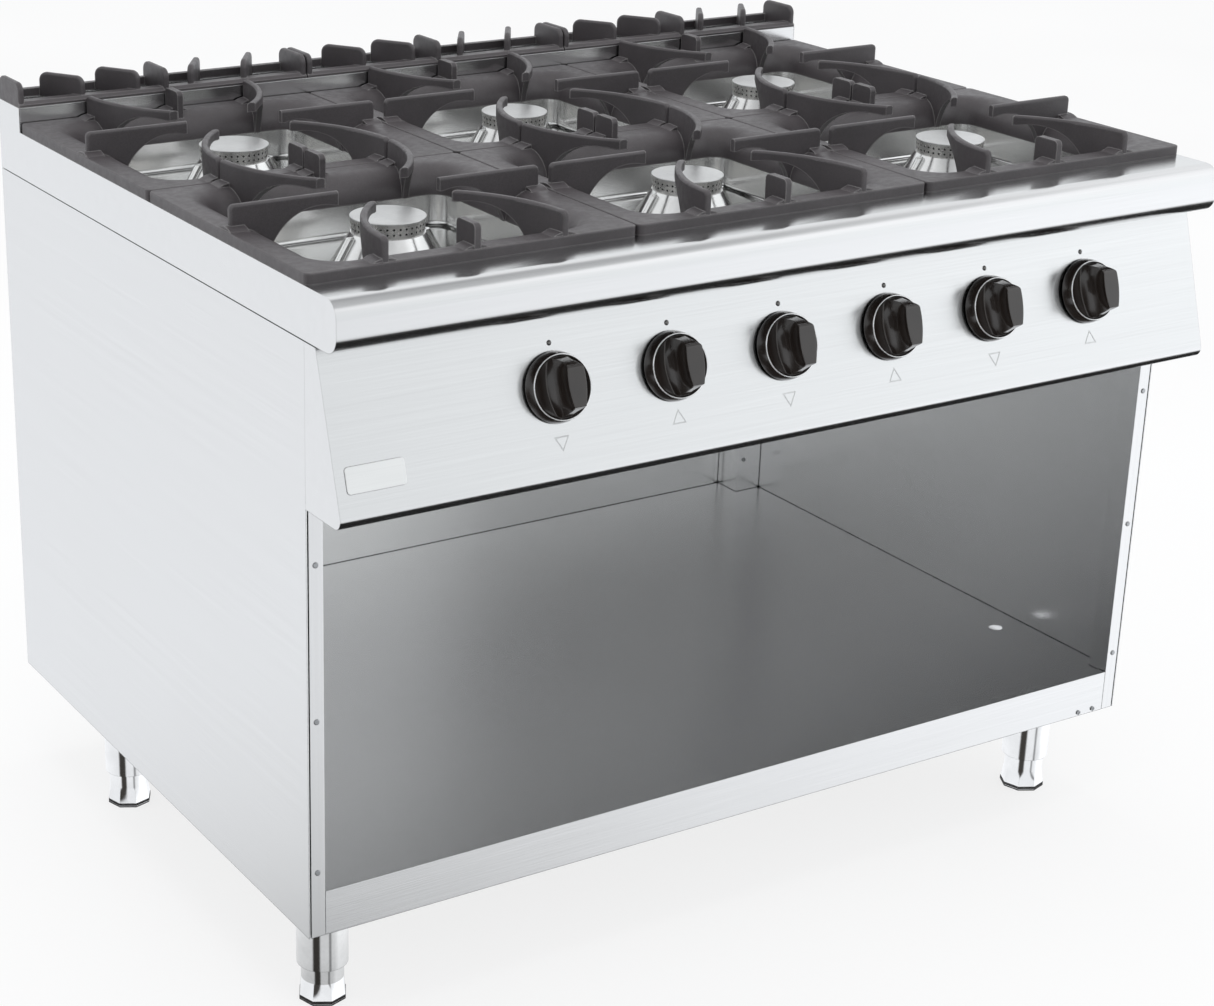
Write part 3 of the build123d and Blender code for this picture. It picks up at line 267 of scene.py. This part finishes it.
def cast_iron(name):
    """Matt enamel over cast iron: fine orange peel, and paler edges that are partly wear and partly a
    painted highlight.
    """
    made, tree, shader = material(name, Coat_Weight=0.05, Coat_Roughness=0.4, Specular_IOR_Level=0.5)
    grain = noise(tree, IRON_GRAIN_SCALE, EVEN, 3.0, 0.6)
    skin = noise(tree, IRON_SKIN_SCALE, EVEN, 3.0)
    cloud = noise(tree, IRON_CLOUD_SCALE, EVEN, 3.0)
    base = ramp(tree, cloud, *IRON_STOPS)
    tone = mixed(tree, 1.0, base, ramp(tree, grain, *IRON_SPECK_STOPS), "MULTIPLY")
    tone = mixed(tree, edge_share(tree, IRON_EDGE_RADIUS), tone, IRON_EDGE_WEAR_AND_HIGHLIGHT)
    height = add(tree, "ShaderNodeMath", {0: grain, 1: skin}, operation="ADD").outputs[0]
    wire(
        tree, shader,
        Base_Color=tone,
        Roughness=spread(tree, skin, 0.3, 0.7, 0.38, 0.52),
        Normal=bumped(tree, height, 0.35, 0.0005, IRON_ROUND),
    )
    return made


def knob_plastic(name):
    """Glossy black-brown moulding, with a painted highlight along its edges."""
    made, tree, shader = material(name, Coat_Weight=0.6, Coat_Roughness=0.06, Specular_IOR_Level=0.5)
    cloud = noise(tree, PLASTIC_CLOUD_SCALE, EVEN, 2.0)
    scuff = noise(tree, PLASTIC_SCUFF_SCALE, EVEN, 3.0, 0.6)
    tone = ramp(tree, cloud, *PLASTIC_STOPS)
    tone = mixed(tree, edge_share(tree, PLASTIC_EDGE_RADIUS), tone, PLASTIC_EDGE_HIGHLIGHT)
    wire(
        tree, shader,
        Base_Color=tone,
        Roughness=spread(tree, scuff, 0.3, 0.7, 0.14, 0.24),
        Normal=bumped(tree, scuff, 0.05, 0.0002, PLASTIC_ROUND),
    )
    return made


def matt(name, colour, rough, grain=600, depth=0.2):
    """Dull moulded or painted surface with a fine grain."""
    made, tree, shader = material(name)
    speck = noise(tree, grain, EVEN, 3.0, 0.6)
    dark = tuple(c * 0.8 for c in colour)
    wire(
        tree, shader,
        Base_Color=ramp(tree, speck, (0.35, dark), (0.65, colour)),
        Roughness=spread(tree, speck, 0.3, 0.7, rough - 0.06, rough + 0.06),
        Normal=bumped(tree, speck, depth, 0.0003, 0.0004),
    )
    return made


ALONG_X, ALONG_Y, ALONG_Z = 0, 1, 2
STEEL = (0.80, 0.80, 0.80)
# After the colour come the roughness, the scratches' strength and their contrast.
steel_x = brushed_steel("steel_brushed_across", ALONG_X, STEEL, 0.21, 0.09, 0.025)
hob_steel = brushed_steel("hob_steel", ALONG_X, STEEL, 0.20, 0.08, 0.02, shade_creases=False)
steel_y = brushed_steel("steel_brushed_front_to_back", ALONG_Y, STEEL, 0.24, 0.07, 0.015)
# Painted light: a paler copy of the same steel, 0.89 against 0.80, lifts the back panel inside the cabinet,
# which gets little light.
steel_inside_lit_copy = brushed_steel("steel_inside_lit_copy", ALONG_X, (0.89, 0.89, 0.885), 0.24, 0.09, 0.02)
steel_z = brushed_steel("steel_brushed_upright", ALONG_Z, STEEL, 0.22, 0.08, 0.02)
well_steel = brushed_steel("well_steel", ALONG_X, (0.80, 0.80, 0.79), 0.17, 0.004, 0.006, shade_creases=False)
badge_steel = brushed_steel("badge_steel", ALONG_X, (0.88, 0.88, 0.87), 0.30, 0.10, 0.02, 0.0005)
chrome = polished_metal("chrome", (0.90, 0.90, 0.90), 0.10)
nickel = polished_metal("burner_nickel", (0.80, 0.80, 0.79), 0.16)
cap_metal = polished_metal("cap_aluminium", (0.70, 0.70, 0.695), 0.34, 0.0006, 0.08)
crown_metal = polished_metal("crown_metal", (0.62, 0.61, 0.60), 0.28, 0.0004, 0.08)
pin_metal = polished_metal("pin_metal", (0.17, 0.165, 0.16), 0.08)
# Bright metal of the ring on each knob's face, a painted highlight.
highlight_ring_metal = polished_metal("highlight_ring_metal", (0.96, 0.96, 0.96), 0.28)
fastener = polished_metal("fastener_steel", (0.42, 0.43, 0.44), 0.30)
zinc = polished_metal("zinc_plate", (0.72, 0.72, 0.70), 0.30)
brass = polished_metal("brass", (0.78, 0.58, 0.28), 0.28)
spring_steel = polished_metal("spring_steel", (0.55, 0.55, 0.56), 0.25)
iron = cast_iron("enamelled_iron")
plastic = knob_plastic("knob_plastic")
rubber = matt("sole_rubber", (0.022, 0.020, 0.020), 0.55)
# Near-black walls and floors inside the crowns' drilled ports.
port_black = matt("port_inside_black", (0.012, 0.011, 0.010), 0.8)
white_paint = matt("white_mark", (0.86, 0.86, 0.84), 0.45, 900, 0.05)

NODE_LOOKS = {
    "side_panel": steel_y, "front_posts": steel_z, "rear_posts": steel_z, "back_panel": steel_inside_lit_copy,
    "cabinet_floor": steel_x, "plinth": steel_x, "compartment_base": steel_x, "control_panel": steel_x,
    "badge_plate": badge_steel, "hob_top": hob_steel, "flue_riser": steel_x, "gas_valves": brass,
    "valve_springs": spring_steel, "gas_manifold": zinc, "gas_pipe": zinc, "burner_tubes": zinc,
    "burner_bodies": nickel, "flame_probes": nickel, "burner_crowns": crown_metal, "legs": chrome,
    "rivets": fastener, "screws": fastener, "burner_well": well_steel, "burner_cap": cap_metal,
    "grate": iron, "knob": plastic, "valve_stem": zinc, "flue_grille": iron, "foot": chrome,
}


def node_look(node):
    """The look whose key starts the node's name, the longest such key first."""
    keys = [key for key in NODE_LOOKS if node.startswith(key)]
    return NODE_LOOKS[max(keys, key=len)]


def paint_nodes():
    """Gives every CAD node its material."""
    for name, thing in NODES.items():
        thing.data.materials.clear()
        thing.data.materials.append(node_look(name))


# ---------------------------------------------------------------- mesh helpers
WELD_DISTANCE = 1e-6


def mesh_piece(name, build, looks, body, smooth=True):
    """Makes a mesh with build(bmesh) and lets it ride on a body."""
    work = bmesh.new()
    build(work)
    bmesh.ops.remove_doubles(work, verts=work.verts, dist=WELD_DISTANCE)
    bmesh.ops.recalc_face_normals(work, faces=work.faces)
    data = bpy.data.meshes.new(name)
    for face in work.faces:
        face.smooth = smooth
    work.to_mesh(data)
    work.free()
    for look in looks:
        data.materials.append(look)
    piece = bpy.data.objects.new(name, data)
    bpy.context.scene.collection.objects.link(piece)
    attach(piece, body)
    return piece


def lathe(work, profile, place, across, normal, steps, closed=True, turn=0.0):
    """Sweeps a closed (radius, height) profile round the normal at place."""
    across, normal = Vector(across).normalized(), Vector(normal).normalized()
    other = normal.cross(across)
    rings = []
    for i in range(steps):
        angle = turn + 2 * math.pi * i / steps
        out = math.cos(angle) * across + math.sin(angle) * other
        rings.append([work.verts.new(Vector(place) + r * out + h * normal) for r, h in profile])
    count = len(profile)
    spans = count if closed else count - 1
    for i in range(steps):
        one, two = rings[i], rings[(i + 1) % steps]
        for j in range(spans):
            k = (j + 1) % count
            work.faces.new((one[j], two[j], two[k], one[k]))
    return rings


# ---------------------------------------------------------------- burner crowns with their ports
PORT_COLUMNS = 36
PORT_RADIUS = 0.00125
PORT_DEPTH = 0.003
PORT_SIDES = 12
PORT_ROW_LEVELS = (0.005, 0.011)
PORT_ROW_HALF = 0.003
CROWN_FLARE = 0.0014
CROWN_WALL = 0.0048


def crown(work, centre, low, high, radius):
    """One ported ring; its outer wall leans out by CROWN_FLARE over its height."""
    height = high - low

    def on_wall(angle, level, depth=0.0):
        reach = radius - CROWN_FLARE * (1 - level / height) - depth
        return Vector((centre.x + reach * math.cos(angle), centre.y + reach * math.sin(angle), low + level))

    half = math.pi / PORT_COLUMNS
    thirds = [-half, -half / 3, half / 3, half]
    bands = [(0.0, PORT_ROW_LEVELS[0] - PORT_ROW_HALF), (PORT_ROW_LEVELS[1] + PORT_ROW_HALF, height)]
    for column in range(PORT_COLUMNS):
        middle = 2 * half * column
        for bottom, top in bands:
            for a, b in zip(thirds, thirds[1:]):
                corners = [(a, bottom), (b, bottom), (b, top), (a, top)]
                work.faces.new([work.verts.new(on_wall(middle + t, z)) for t, z in corners])
        for level in PORT_ROW_LEVELS:
            port(work, on_wall, middle, level, thirds, radius)
    inner = radius - CROWN_WALL
    outer_low = radius - CROWN_FLARE
    for column in range(PORT_COLUMNS):
        for a, b in zip(thirds, thirds[1:]):
            ends = [2 * half * column + a, 2 * half * column + b]
            ring = [(radius, high), (inner, high), (inner, low), (outer_low, low)]
            for (r1, z1), (r2, z2) in zip(ring, ring[1:]):
                points = [(r1, z1, ends[0]), (r1, z1, ends[1]), (r2, z2, ends[1]), (r2, z2, ends[0])]
                work.faces.new([
                    work.verts.new((centre.x + r * math.cos(t), centre.y + r * math.sin(t), z))
                    for r, z, t in points
                ])


def port(work, on_wall, middle, level, thirds, radius):
    """A drilled port inside its cell of the wall."""
    low, high = level - PORT_ROW_HALF, level + PORT_ROW_HALF
    levels = [low + (high - low) * i / 3 for i in range(4)]
    border = [(t, low) for t in thirds[:-1]] + [(thirds[-1], z) for z in levels[:-1]]
    border += [(t, high) for t in thirds[:0:-1]] + [(thirds[0], z) for z in levels[:0:-1]]
    start = math.atan2(border[0][1] - level, border[0][0] * radius)
    rim, floor, outer = [], [], []
    for i, (t, z) in enumerate(border):
        angle = start + 2 * math.pi * i / PORT_SIDES
        turn = PORT_RADIUS * math.cos(angle) / radius
        rise = PORT_RADIUS * math.sin(angle)
        outer.append(work.verts.new(on_wall(middle + t, z)))
        rim.append(work.verts.new(on_wall(middle + turn, level + rise)))
        floor.append(work.verts.new(on_wall(middle + turn, level + rise, PORT_DEPTH)))
    for i in range(PORT_SIDES):
        k = (i + 1) % PORT_SIDES
        work.faces.new((outer[i], outer[k], rim[k], rim[i]))
        work.faces.new((rim[i], rim[k], floor[k], floor[i])).material_index = 1
    work.faces.new(floor).material_index = 1


def burner_crowns():
    """The six ported rings in place of the plain CAD rings."""
    low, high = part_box("burner_crowns")
    first_low, first_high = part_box("burner_cap_1")
    radius = (first_low.x + first_high.x) / 2 - low.x

    def build(work):
        for cell in CELLS:
            cap_low, cap_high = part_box(f"burner_cap_{cell}")
            crown(work, (cap_low + cap_high) / 2, low.z, high.z, radius)

    piece = mesh_piece(
        "ported_crowns", build, [crown_metal, port_black], "cabinet", smooth=False,
    )
    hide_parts("burner_crowns")


# ---------------------------------------------------------------- knob marks
KNOB_FACE_RADIUS = 0.0354
KNOB_FACE_HEIGHT = 0.0165
# A bright metal ring on the rim of the knob's face is a painted highlight, not a part of the knob.
HIGHLIGHT_RING_INNER = KNOB_FACE_RADIUS - 0.0013
HIGHLIGHT_RING_OUTER = KNOB_FACE_RADIUS - 0.0001
HIGHLIGHT_RING_STEPS = 96
# Section of the ring as (radius, height): two points under the face, its brim, and two on top.
HIGHLIGHT_RING_PROFILE = (
    (HIGHLIGHT_RING_INNER, KNOB_FACE_HEIGHT - 0.0006),
    (HIGHLIGHT_RING_OUTER, KNOB_FACE_HEIGHT - 0.0012),
    (HIGHLIGHT_RING_OUTER + 0.00025, KNOB_FACE_HEIGHT - 0.0007),
    (HIGHLIGHT_RING_OUTER - 0.0002, KNOB_FACE_HEIGHT),
    (HIGHLIGHT_RING_INNER + 0.0002, KNOB_FACE_HEIGHT + 0.00015),
)
TICK_WIDTH = 0.0020
TICK_RANGE = (0.0095, 0.0145)
TICK_SUNK = 0.0005
TICK_PROUD = 0.00025
TICK_ROUND = 0.00015
# A (radius, height) point on the skirt's outside, and the radius gained per metre of height.
SKIRT_FOOT = (0.0380, 0.0060)
SKIRT_SLOPE = -0.26
# Closed section of the skirt and face as (radius, height) from the foot of the knob's axis.
KNOB_PROFILE = (
    (0.00405, 0.0034), (0.0100, 0.0034), (0.0100, 0.0090), (0.0344, 0.0090), (0.0359, 0.0034),
    (0.0384, 0.0034), (0.0380, 0.0060), (0.0354, 0.0160), (0.0349, 0.0165), (0.0340, 0.0165),
    (0.0310, 0.0120), (0.00405, 0.0120),
)
KNOB_STEPS = 128
KNOB_SHARP = math.radians(38)
GRIP_REACH = 0.033
GRIP_LEVEL = (-0.0215, 0.0195)
GRIP_FOOT = 0.011
GRIP_WAIST = 0.027
GRIP_TOP = 0.046
# Half widths of the grip at three places along it: at its foot, its waist and its top.
GRIP_PLACES = (-0.033, -0.006, 0.033)
FOOT_WIDTHS = (0.0080, 0.0170, 0.0115)
WAIST_WIDTHS = (0.0024, 0.0082, 0.0060)
TOP_WIDTHS = (0.0030, 0.0102, 0.0072)
GRIP_LEAST_RISE = 0.02
GRIP_ROWS = 44
GRIP_STEPS = 12
PIN_CLIMB = 0.047
PIN_RADIUS = 0.0027
PIN_HEIGHT = 0.0016
PIN_SUNK = 0.0003
PIN_FOOT = 0.0005
PIN_TIP = 0.0001
PIN_ROWS = 6
PIN_STEPS = 24


def joint_named(name):
    """The frame's joint of that name."""
    return next(joint for joint in frame["joints"] if joint["name"] == name)


def knob_axes(k):
    """Foot of the knob's axis on the panel, the axis out of the panel, and up the slope."""
    joint = joint_named(f"knob_{k}_turn")
    out = Vector(joint["axis"]).normalized()
    return Vector(joint["pos_m"]), out, out.cross(Vector(RIGHTWARD))


def quadratic(points, x):
    """Value at x of the parabola through three (x, value) points."""
    total = 0.0
    for i, (x_i, value) in enumerate(points):
        share = value
        for j, (x_j, _) in enumerate(points):
            if j != i:
                share *= (x - x_j) / (x_i - x_j)
        total += share
    return total


def grip_height(along):
    """Height of the grip's top at a place along it: level between two sloping ends."""
    low, high = GRIP_LEVEL
    if along < low:
        rise = (along + GRIP_REACH) / (low + GRIP_REACH)
    elif along > high:
        rise = (GRIP_REACH - along) / (GRIP_REACH - high)
        rise = math.sin(math.pi / 2 * rise)
    else:
        rise = 1.0
    return GRIP_FOOT + (GRIP_TOP - GRIP_FOOT) * max(rise, GRIP_LEAST_RISE)


def knob_grip(work, place, out, up):
    """Tall grip, hollow on both sides, narrower at its lower end."""
    across = Vector(RIGHTWARD)
    loops = []
    for i in range(GRIP_ROWS + 1):
        along = GRIP_REACH * (2 * i / GRIP_ROWS - 1)
        top = grip_height(along)
        foot_w, waist_w, top_w = (
            quadratic(list(zip(GRIP_PLACES, widths)), along)
            for widths in (FOOT_WIDTHS, WAIST_WIDTHS, TOP_WIDTHS)
        )
        sides = []
        for j in range(GRIP_STEPS + 1):
            height = GRIP_FOOT + (top - GRIP_FOOT) * j / GRIP_STEPS
            width = quadratic([(GRIP_FOOT, foot_w), (GRIP_WAIST, waist_w), (GRIP_TOP, top_w)], height)
            sides.append((width, height))
        ring = [(-w, h) for w, h in sides] + [(w, h) for w, h in reversed(sides)]
        loops.append([work.verts.new(place + across * x + up * along + out * h) for x, h in ring])
    count = len(loops[0])
    for one, two in zip(loops, loops[1:]):
        for j in range(count):
            k = (j + 1) % count
            work.faces.new((one[j], one[k], two[k], two[j]))
    work.faces.new(loops[0])
    work.faces.new(list(reversed(loops[-1])))


def moulded_knob(k):
    """Knob with its rounded grip, in place of the CAD one."""
    place, out, up = knob_axes(k)

    def build(work):
        lathe(work, KNOB_PROFILE, place, RIGHTWARD, out, KNOB_STEPS)
        knob_grip(work, place, out, up)

    piece = mesh_piece(f"moulded_knob_{k}", build, [plastic], f"knob_{k}")
    piece.data.set_sharp_from_angle(angle=KNOB_SHARP)
    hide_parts(f"knob_{k}")


def knob_highlight_ring(k):
    """Thin bright metal ring round the knob's face, a painted highlight standing in for the light on the
    face's rim.
    """
    place, out, _ = knob_axes(k)
    mesh_piece(
        f"knob_highlight_ring_{k}", lambda work: lathe(work, HIGHLIGHT_RING_PROFILE, place, RIGHTWARD, out, HIGHLIGHT_RING_STEPS),
        [highlight_ring_metal], f"knob_{k}",
    )


def knob_tick(k):
    """White index mark inlaid in the knob's side at the top."""
    place, out, up = knob_axes(k)
    across = Vector(RIGHTWARD)

    def build(work):
        corners = {}
        for i, x in enumerate((-TICK_WIDTH / 2, TICK_WIDTH / 2)):
            for m, h in enumerate(TICK_RANGE):
                wall = SKIRT_FOOT[0] + SKIRT_SLOPE * (h - SKIRT_FOOT[1])
                for j, r in enumerate((wall - TICK_SUNK, wall + TICK_PROUD)):
                    corners[i, j, m] = work.verts.new(place + across * x + up * r + out * h)
        loops = [
            [(0, 0, 0), (0, 1, 0), (0, 1, 1), (0, 0, 1)], [(1, 0, 0), (1, 1, 0), (1, 1, 1), (1, 0, 1)],
            [(0, 1, 0), (1, 1, 0), (1, 1, 1), (0, 1, 1)], [(0, 0, 0), (1, 0, 0), (1, 0, 1), (0, 0, 1)],
            [(0, 0, 0), (1, 0, 0), (1, 1, 0), (0, 1, 0)], [(0, 0, 1), (1, 0, 1), (1, 1, 1), (0, 1, 1)],
        ]
        for loop in loops:
            work.faces.new([corners[key] for key in loop])
        bmesh.ops.bevel(work, geom=work.edges[:], offset=TICK_ROUND, segments=2, affect="EDGES")

    mesh_piece(f"knob_tick_{k}", build, [white_paint], f"knob_{k}")


def index_pins():
    """Small polished domes above the knobs."""
    def build(work):
        for k in CELLS:
            place, out, up = knob_axes(k)
            dome = [
                (PIN_RADIUS * math.cos(t), PIN_HEIGHT * math.sin(t) - PIN_SUNK)
                for t in [math.pi / 2 * i / PIN_ROWS for i in range(PIN_ROWS)]
            ]
            profile = [(PIN_RADIUS, -PIN_FOOT)] + dome + [(PIN_TIP, PIN_HEIGHT - PIN_SUNK)]
            rings = lathe(work, profile, place + up * PIN_CLIMB, RIGHTWARD, out, PIN_STEPS, closed=False)
            work.faces.new([ring[-1] for ring in rings])
            work.faces.new([ring[0] for ring in reversed(rings)])

    mesh_piece("index_pins", build, [pin_metal], "cabinet")


# ---------------------------------------------------------------- foot soles
SOLE_HEIGHT = 0.006
SOLE_PROUD = 0.0004
SOLE_THICKNESS = 0.004
SOLE_SIDES = 8
SOLE_BOTTOM_ROUND = 0.0006
SOLE_TOP_ROUND = (0.0005, 0.0004)
GROOVE_LEVELS = (0.0020, 0.0040)
GROOVE_DEPTH = 0.0009
# Points of a groove as (depth, height from its level).
GROOVE_SECTION = ((0.0, -0.0003), (GROOVE_DEPTH, -0.0001), (GROOVE_DEPTH, 0.0003), (0.0, 0.0005))


def foot_sole(k):
    """Black moulded octagonal sole with two grooves."""
    low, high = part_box(f"foot_{k}")
    centre = (low + high) / 2
    rim = [v.co for v in NODES[f"foot_{k}"].data.vertices if v.co.z < SOLE_HEIGHT / 2]
    corner = max(rim, key=lambda p: math.hypot(p.x - centre.x, p.y - centre.y))
    reach = math.hypot(corner.x - centre.x, corner.y - centre.y) + SOLE_PROUD
    turn = math.atan2(corner.y - centre.y, corner.x - centre.x)
    inner = reach - SOLE_THICKNESS
    profile = [(inner, 0.0), (reach - SOLE_BOTTOM_ROUND, 0.0), (reach, SOLE_BOTTOM_ROUND)]
    for level in GROOVE_LEVELS:
        profile += [(reach - depth, level + rise) for depth, rise in GROOVE_SECTION]
    across_round, up_round = SOLE_TOP_ROUND
    profile += [(reach, SOLE_HEIGHT - up_round), (reach - across_round, SOLE_HEIGHT), (inner, SOLE_HEIGHT)]
    foot = (centre.x, centre.y, 0)
    mesh_piece(
        f"foot_sole_{k}",
        lambda work: lathe(work, profile, foot, RIGHTWARD, UPWARD, SOLE_SIDES, turn=turn),
        [rubber], f"foot_{k}", smooth=False,
    )


# ---------------------------------------------------------------- floor and light
FLOOR_SIZE = 60
FLOOR_GLOW = 0.80
FLOOR_CLOUD_SCALE = 0.8
FLOOR_STOPS = ((0.3, (0.19, 0.19, 0.19)), (0.7, (0.21, 0.21, 0.21)))


def make_floor():
    """Plain pale floor, which is lifted to white by a glow and isn't reflected in the steel."""
    bpy.ops.mesh.primitive_plane_add(size=FLOOR_SIZE, location=(0, 0, 0))
    floor = bpy.context.object
    floor.name = "studio_floor"
    made, tree, shader = material(
        "floor_paint", Roughness=0.9, Specular_IOR_Level=0.0, Emission_Strength=FLOOR_GLOW,
    )
    cloud = noise(tree, FLOOR_CLOUD_SCALE, EVEN, 2.0)
    wire(tree, shader, Base_Color=ramp(tree, cloud, *FLOOR_STOPS))
    shader.inputs["Emission Color"].default_value = (1, 1, 1, 1)
    floor.data.materials.append(made)
    floor.visible_glossy = False


# Brightness by height of the direction, from straight down (0) to straight up (1): dark below,
# pale walls, one grey band high up.
HEIGHT_STOPS = (
    (0.0, (0.015, 0.015, 0.015)),
    (0.215, (0.02, 0.02, 0.02)),
    (0.240, (0.80, 0.81, 0.82)),
    (0.275, (1.02, 1.04, 1.07)),
    (0.37, (1.0, 1.02, 1.05)),
    (0.60, (0.96, 0.99, 1.01)),
    (0.85, (0.97, 0.98, 1.0)),
    (0.90, (0.42, 0.43, 0.44)),
    (0.955, (0.42, 0.43, 0.44)),
    (0.985, (0.95, 0.95, 0.95)),
)
# Brightness round the compass: the back is 0, the front 0.5, and the left comes before the right.
# These are the dark panels, which fade out with height over PANEL_TOP.
PANEL_STOPS = (
    (0.295, (1.0, 1.0, 1.0)),
    (0.315, (0.06, 0.055, 0.05)),
    (0.385, (0.06, 0.055, 0.05)),
    (0.405, (1.0, 1.0, 1.0)),
    (0.50, (1.0, 1.0, 1.0)),
    (0.51, (0.35, 0.35, 0.35)),
    (0.525, (0.35, 0.35, 0.35)),
    (0.545, (1.0, 1.0, 1.0)),
)
PANEL_TOP = (0.05, 0.35)
# Round the compass in the same way, at every height: the broad rise to the right of the front.
SWEEP_STOPS = (
    (0.0, (0.80, 0.80, 0.80)),
    (0.45, (0.74, 0.74, 0.74)),
    (0.57, (0.74, 0.74, 0.74)),
    (0.635, (1.02, 1.02, 1.02)),
    (0.75, (0.95, 0.95, 0.95)),
    (0.85, (0.80, 0.80, 0.80)),
)
BACKDROP = (0.815, 0.815, 0.815)
WORLD_STRENGTH = 1.25
WHITE = (1.0, 1.0, 1.0)


def world_light():
    """Soft studio surround for the reflections, with a plain backdrop for the camera."""
    world = bpy.data.worlds.new("studio")
    bpy.context.scene.world = world
    world.use_nodes = True
    tree = world.node_tree
    tree.nodes.clear()
    direction = add(tree, "ShaderNodeTexCoord").outputs["Generated"]
    x, y, z = add(tree, "ShaderNodeSeparateXYZ", {"Vector": direction}).outputs
    level = ramp(tree, spread(tree, z, -1.0, 1.0, 0.0, 1.0), *HEIGHT_STOPS)
    front = add(tree, "ShaderNodeMath", {0: y, 1: -1.0}, operation="MULTIPLY").outputs[0]
    azimuth = add(tree, "ShaderNodeMath", {0: x, 1: front}, operation="ARCTAN2").outputs[0]
    turn = spread(tree, azimuth, -math.pi, math.pi, 0.0, 1.0)
    level = mixed(tree, 1.0, level, ramp(tree, turn, *SWEEP_STOPS), "MULTIPLY")
    panels = mixed(tree, spread(tree, z, *PANEL_TOP, 1.0, 0.0), WHITE, ramp(tree, turn, *PANEL_STOPS))
    studio = mixed(tree, 1.0, level, panels, "MULTIPLY")
    seen = add(tree, "ShaderNodeLightPath").outputs["Is Camera Ray"]
    shown = mixed(tree, seen, studio, BACKDROP)
    background = add(tree, "ShaderNodeBackground", {"Color": shown, "Strength": WORLD_STRENGTH})
    add(tree, "ShaderNodeOutputWorld", {"Surface": background.outputs[0]})


TOP_LIGHT_PLACE = (-0.2, -0.1, 3.2)
TOP_LIGHT_SIZE = 2.4
TOP_LIGHT_POWER = 34


def top_light():
    """Square soft light overhead, which lifts the dull surfaces and isn't reflected."""
    data = bpy.data.lights.new("top_light", "AREA")
    data.shape = "SQUARE"
    data.size = TOP_LIGHT_SIZE
    data.energy = TOP_LIGHT_POWER
    lamp = bpy.data.objects.new("top_light", data)
    lamp.location = TOP_LIGHT_PLACE
    lamp.visible_camera = False
    lamp.visible_glossy = False
    bpy.context.scene.collection.objects.link(lamp)


make_camera()
bpy.context.scene.view_settings.view_transform = "Standard"
paint_nodes()
burner_crowns()
for number in CELLS:
    moulded_knob(number)
    knob_highlight_ring(number)
    knob_tick(number)
index_pins()
for number in FEET:
    foot_sole(number)
make_floor()
world_light()
top_light()
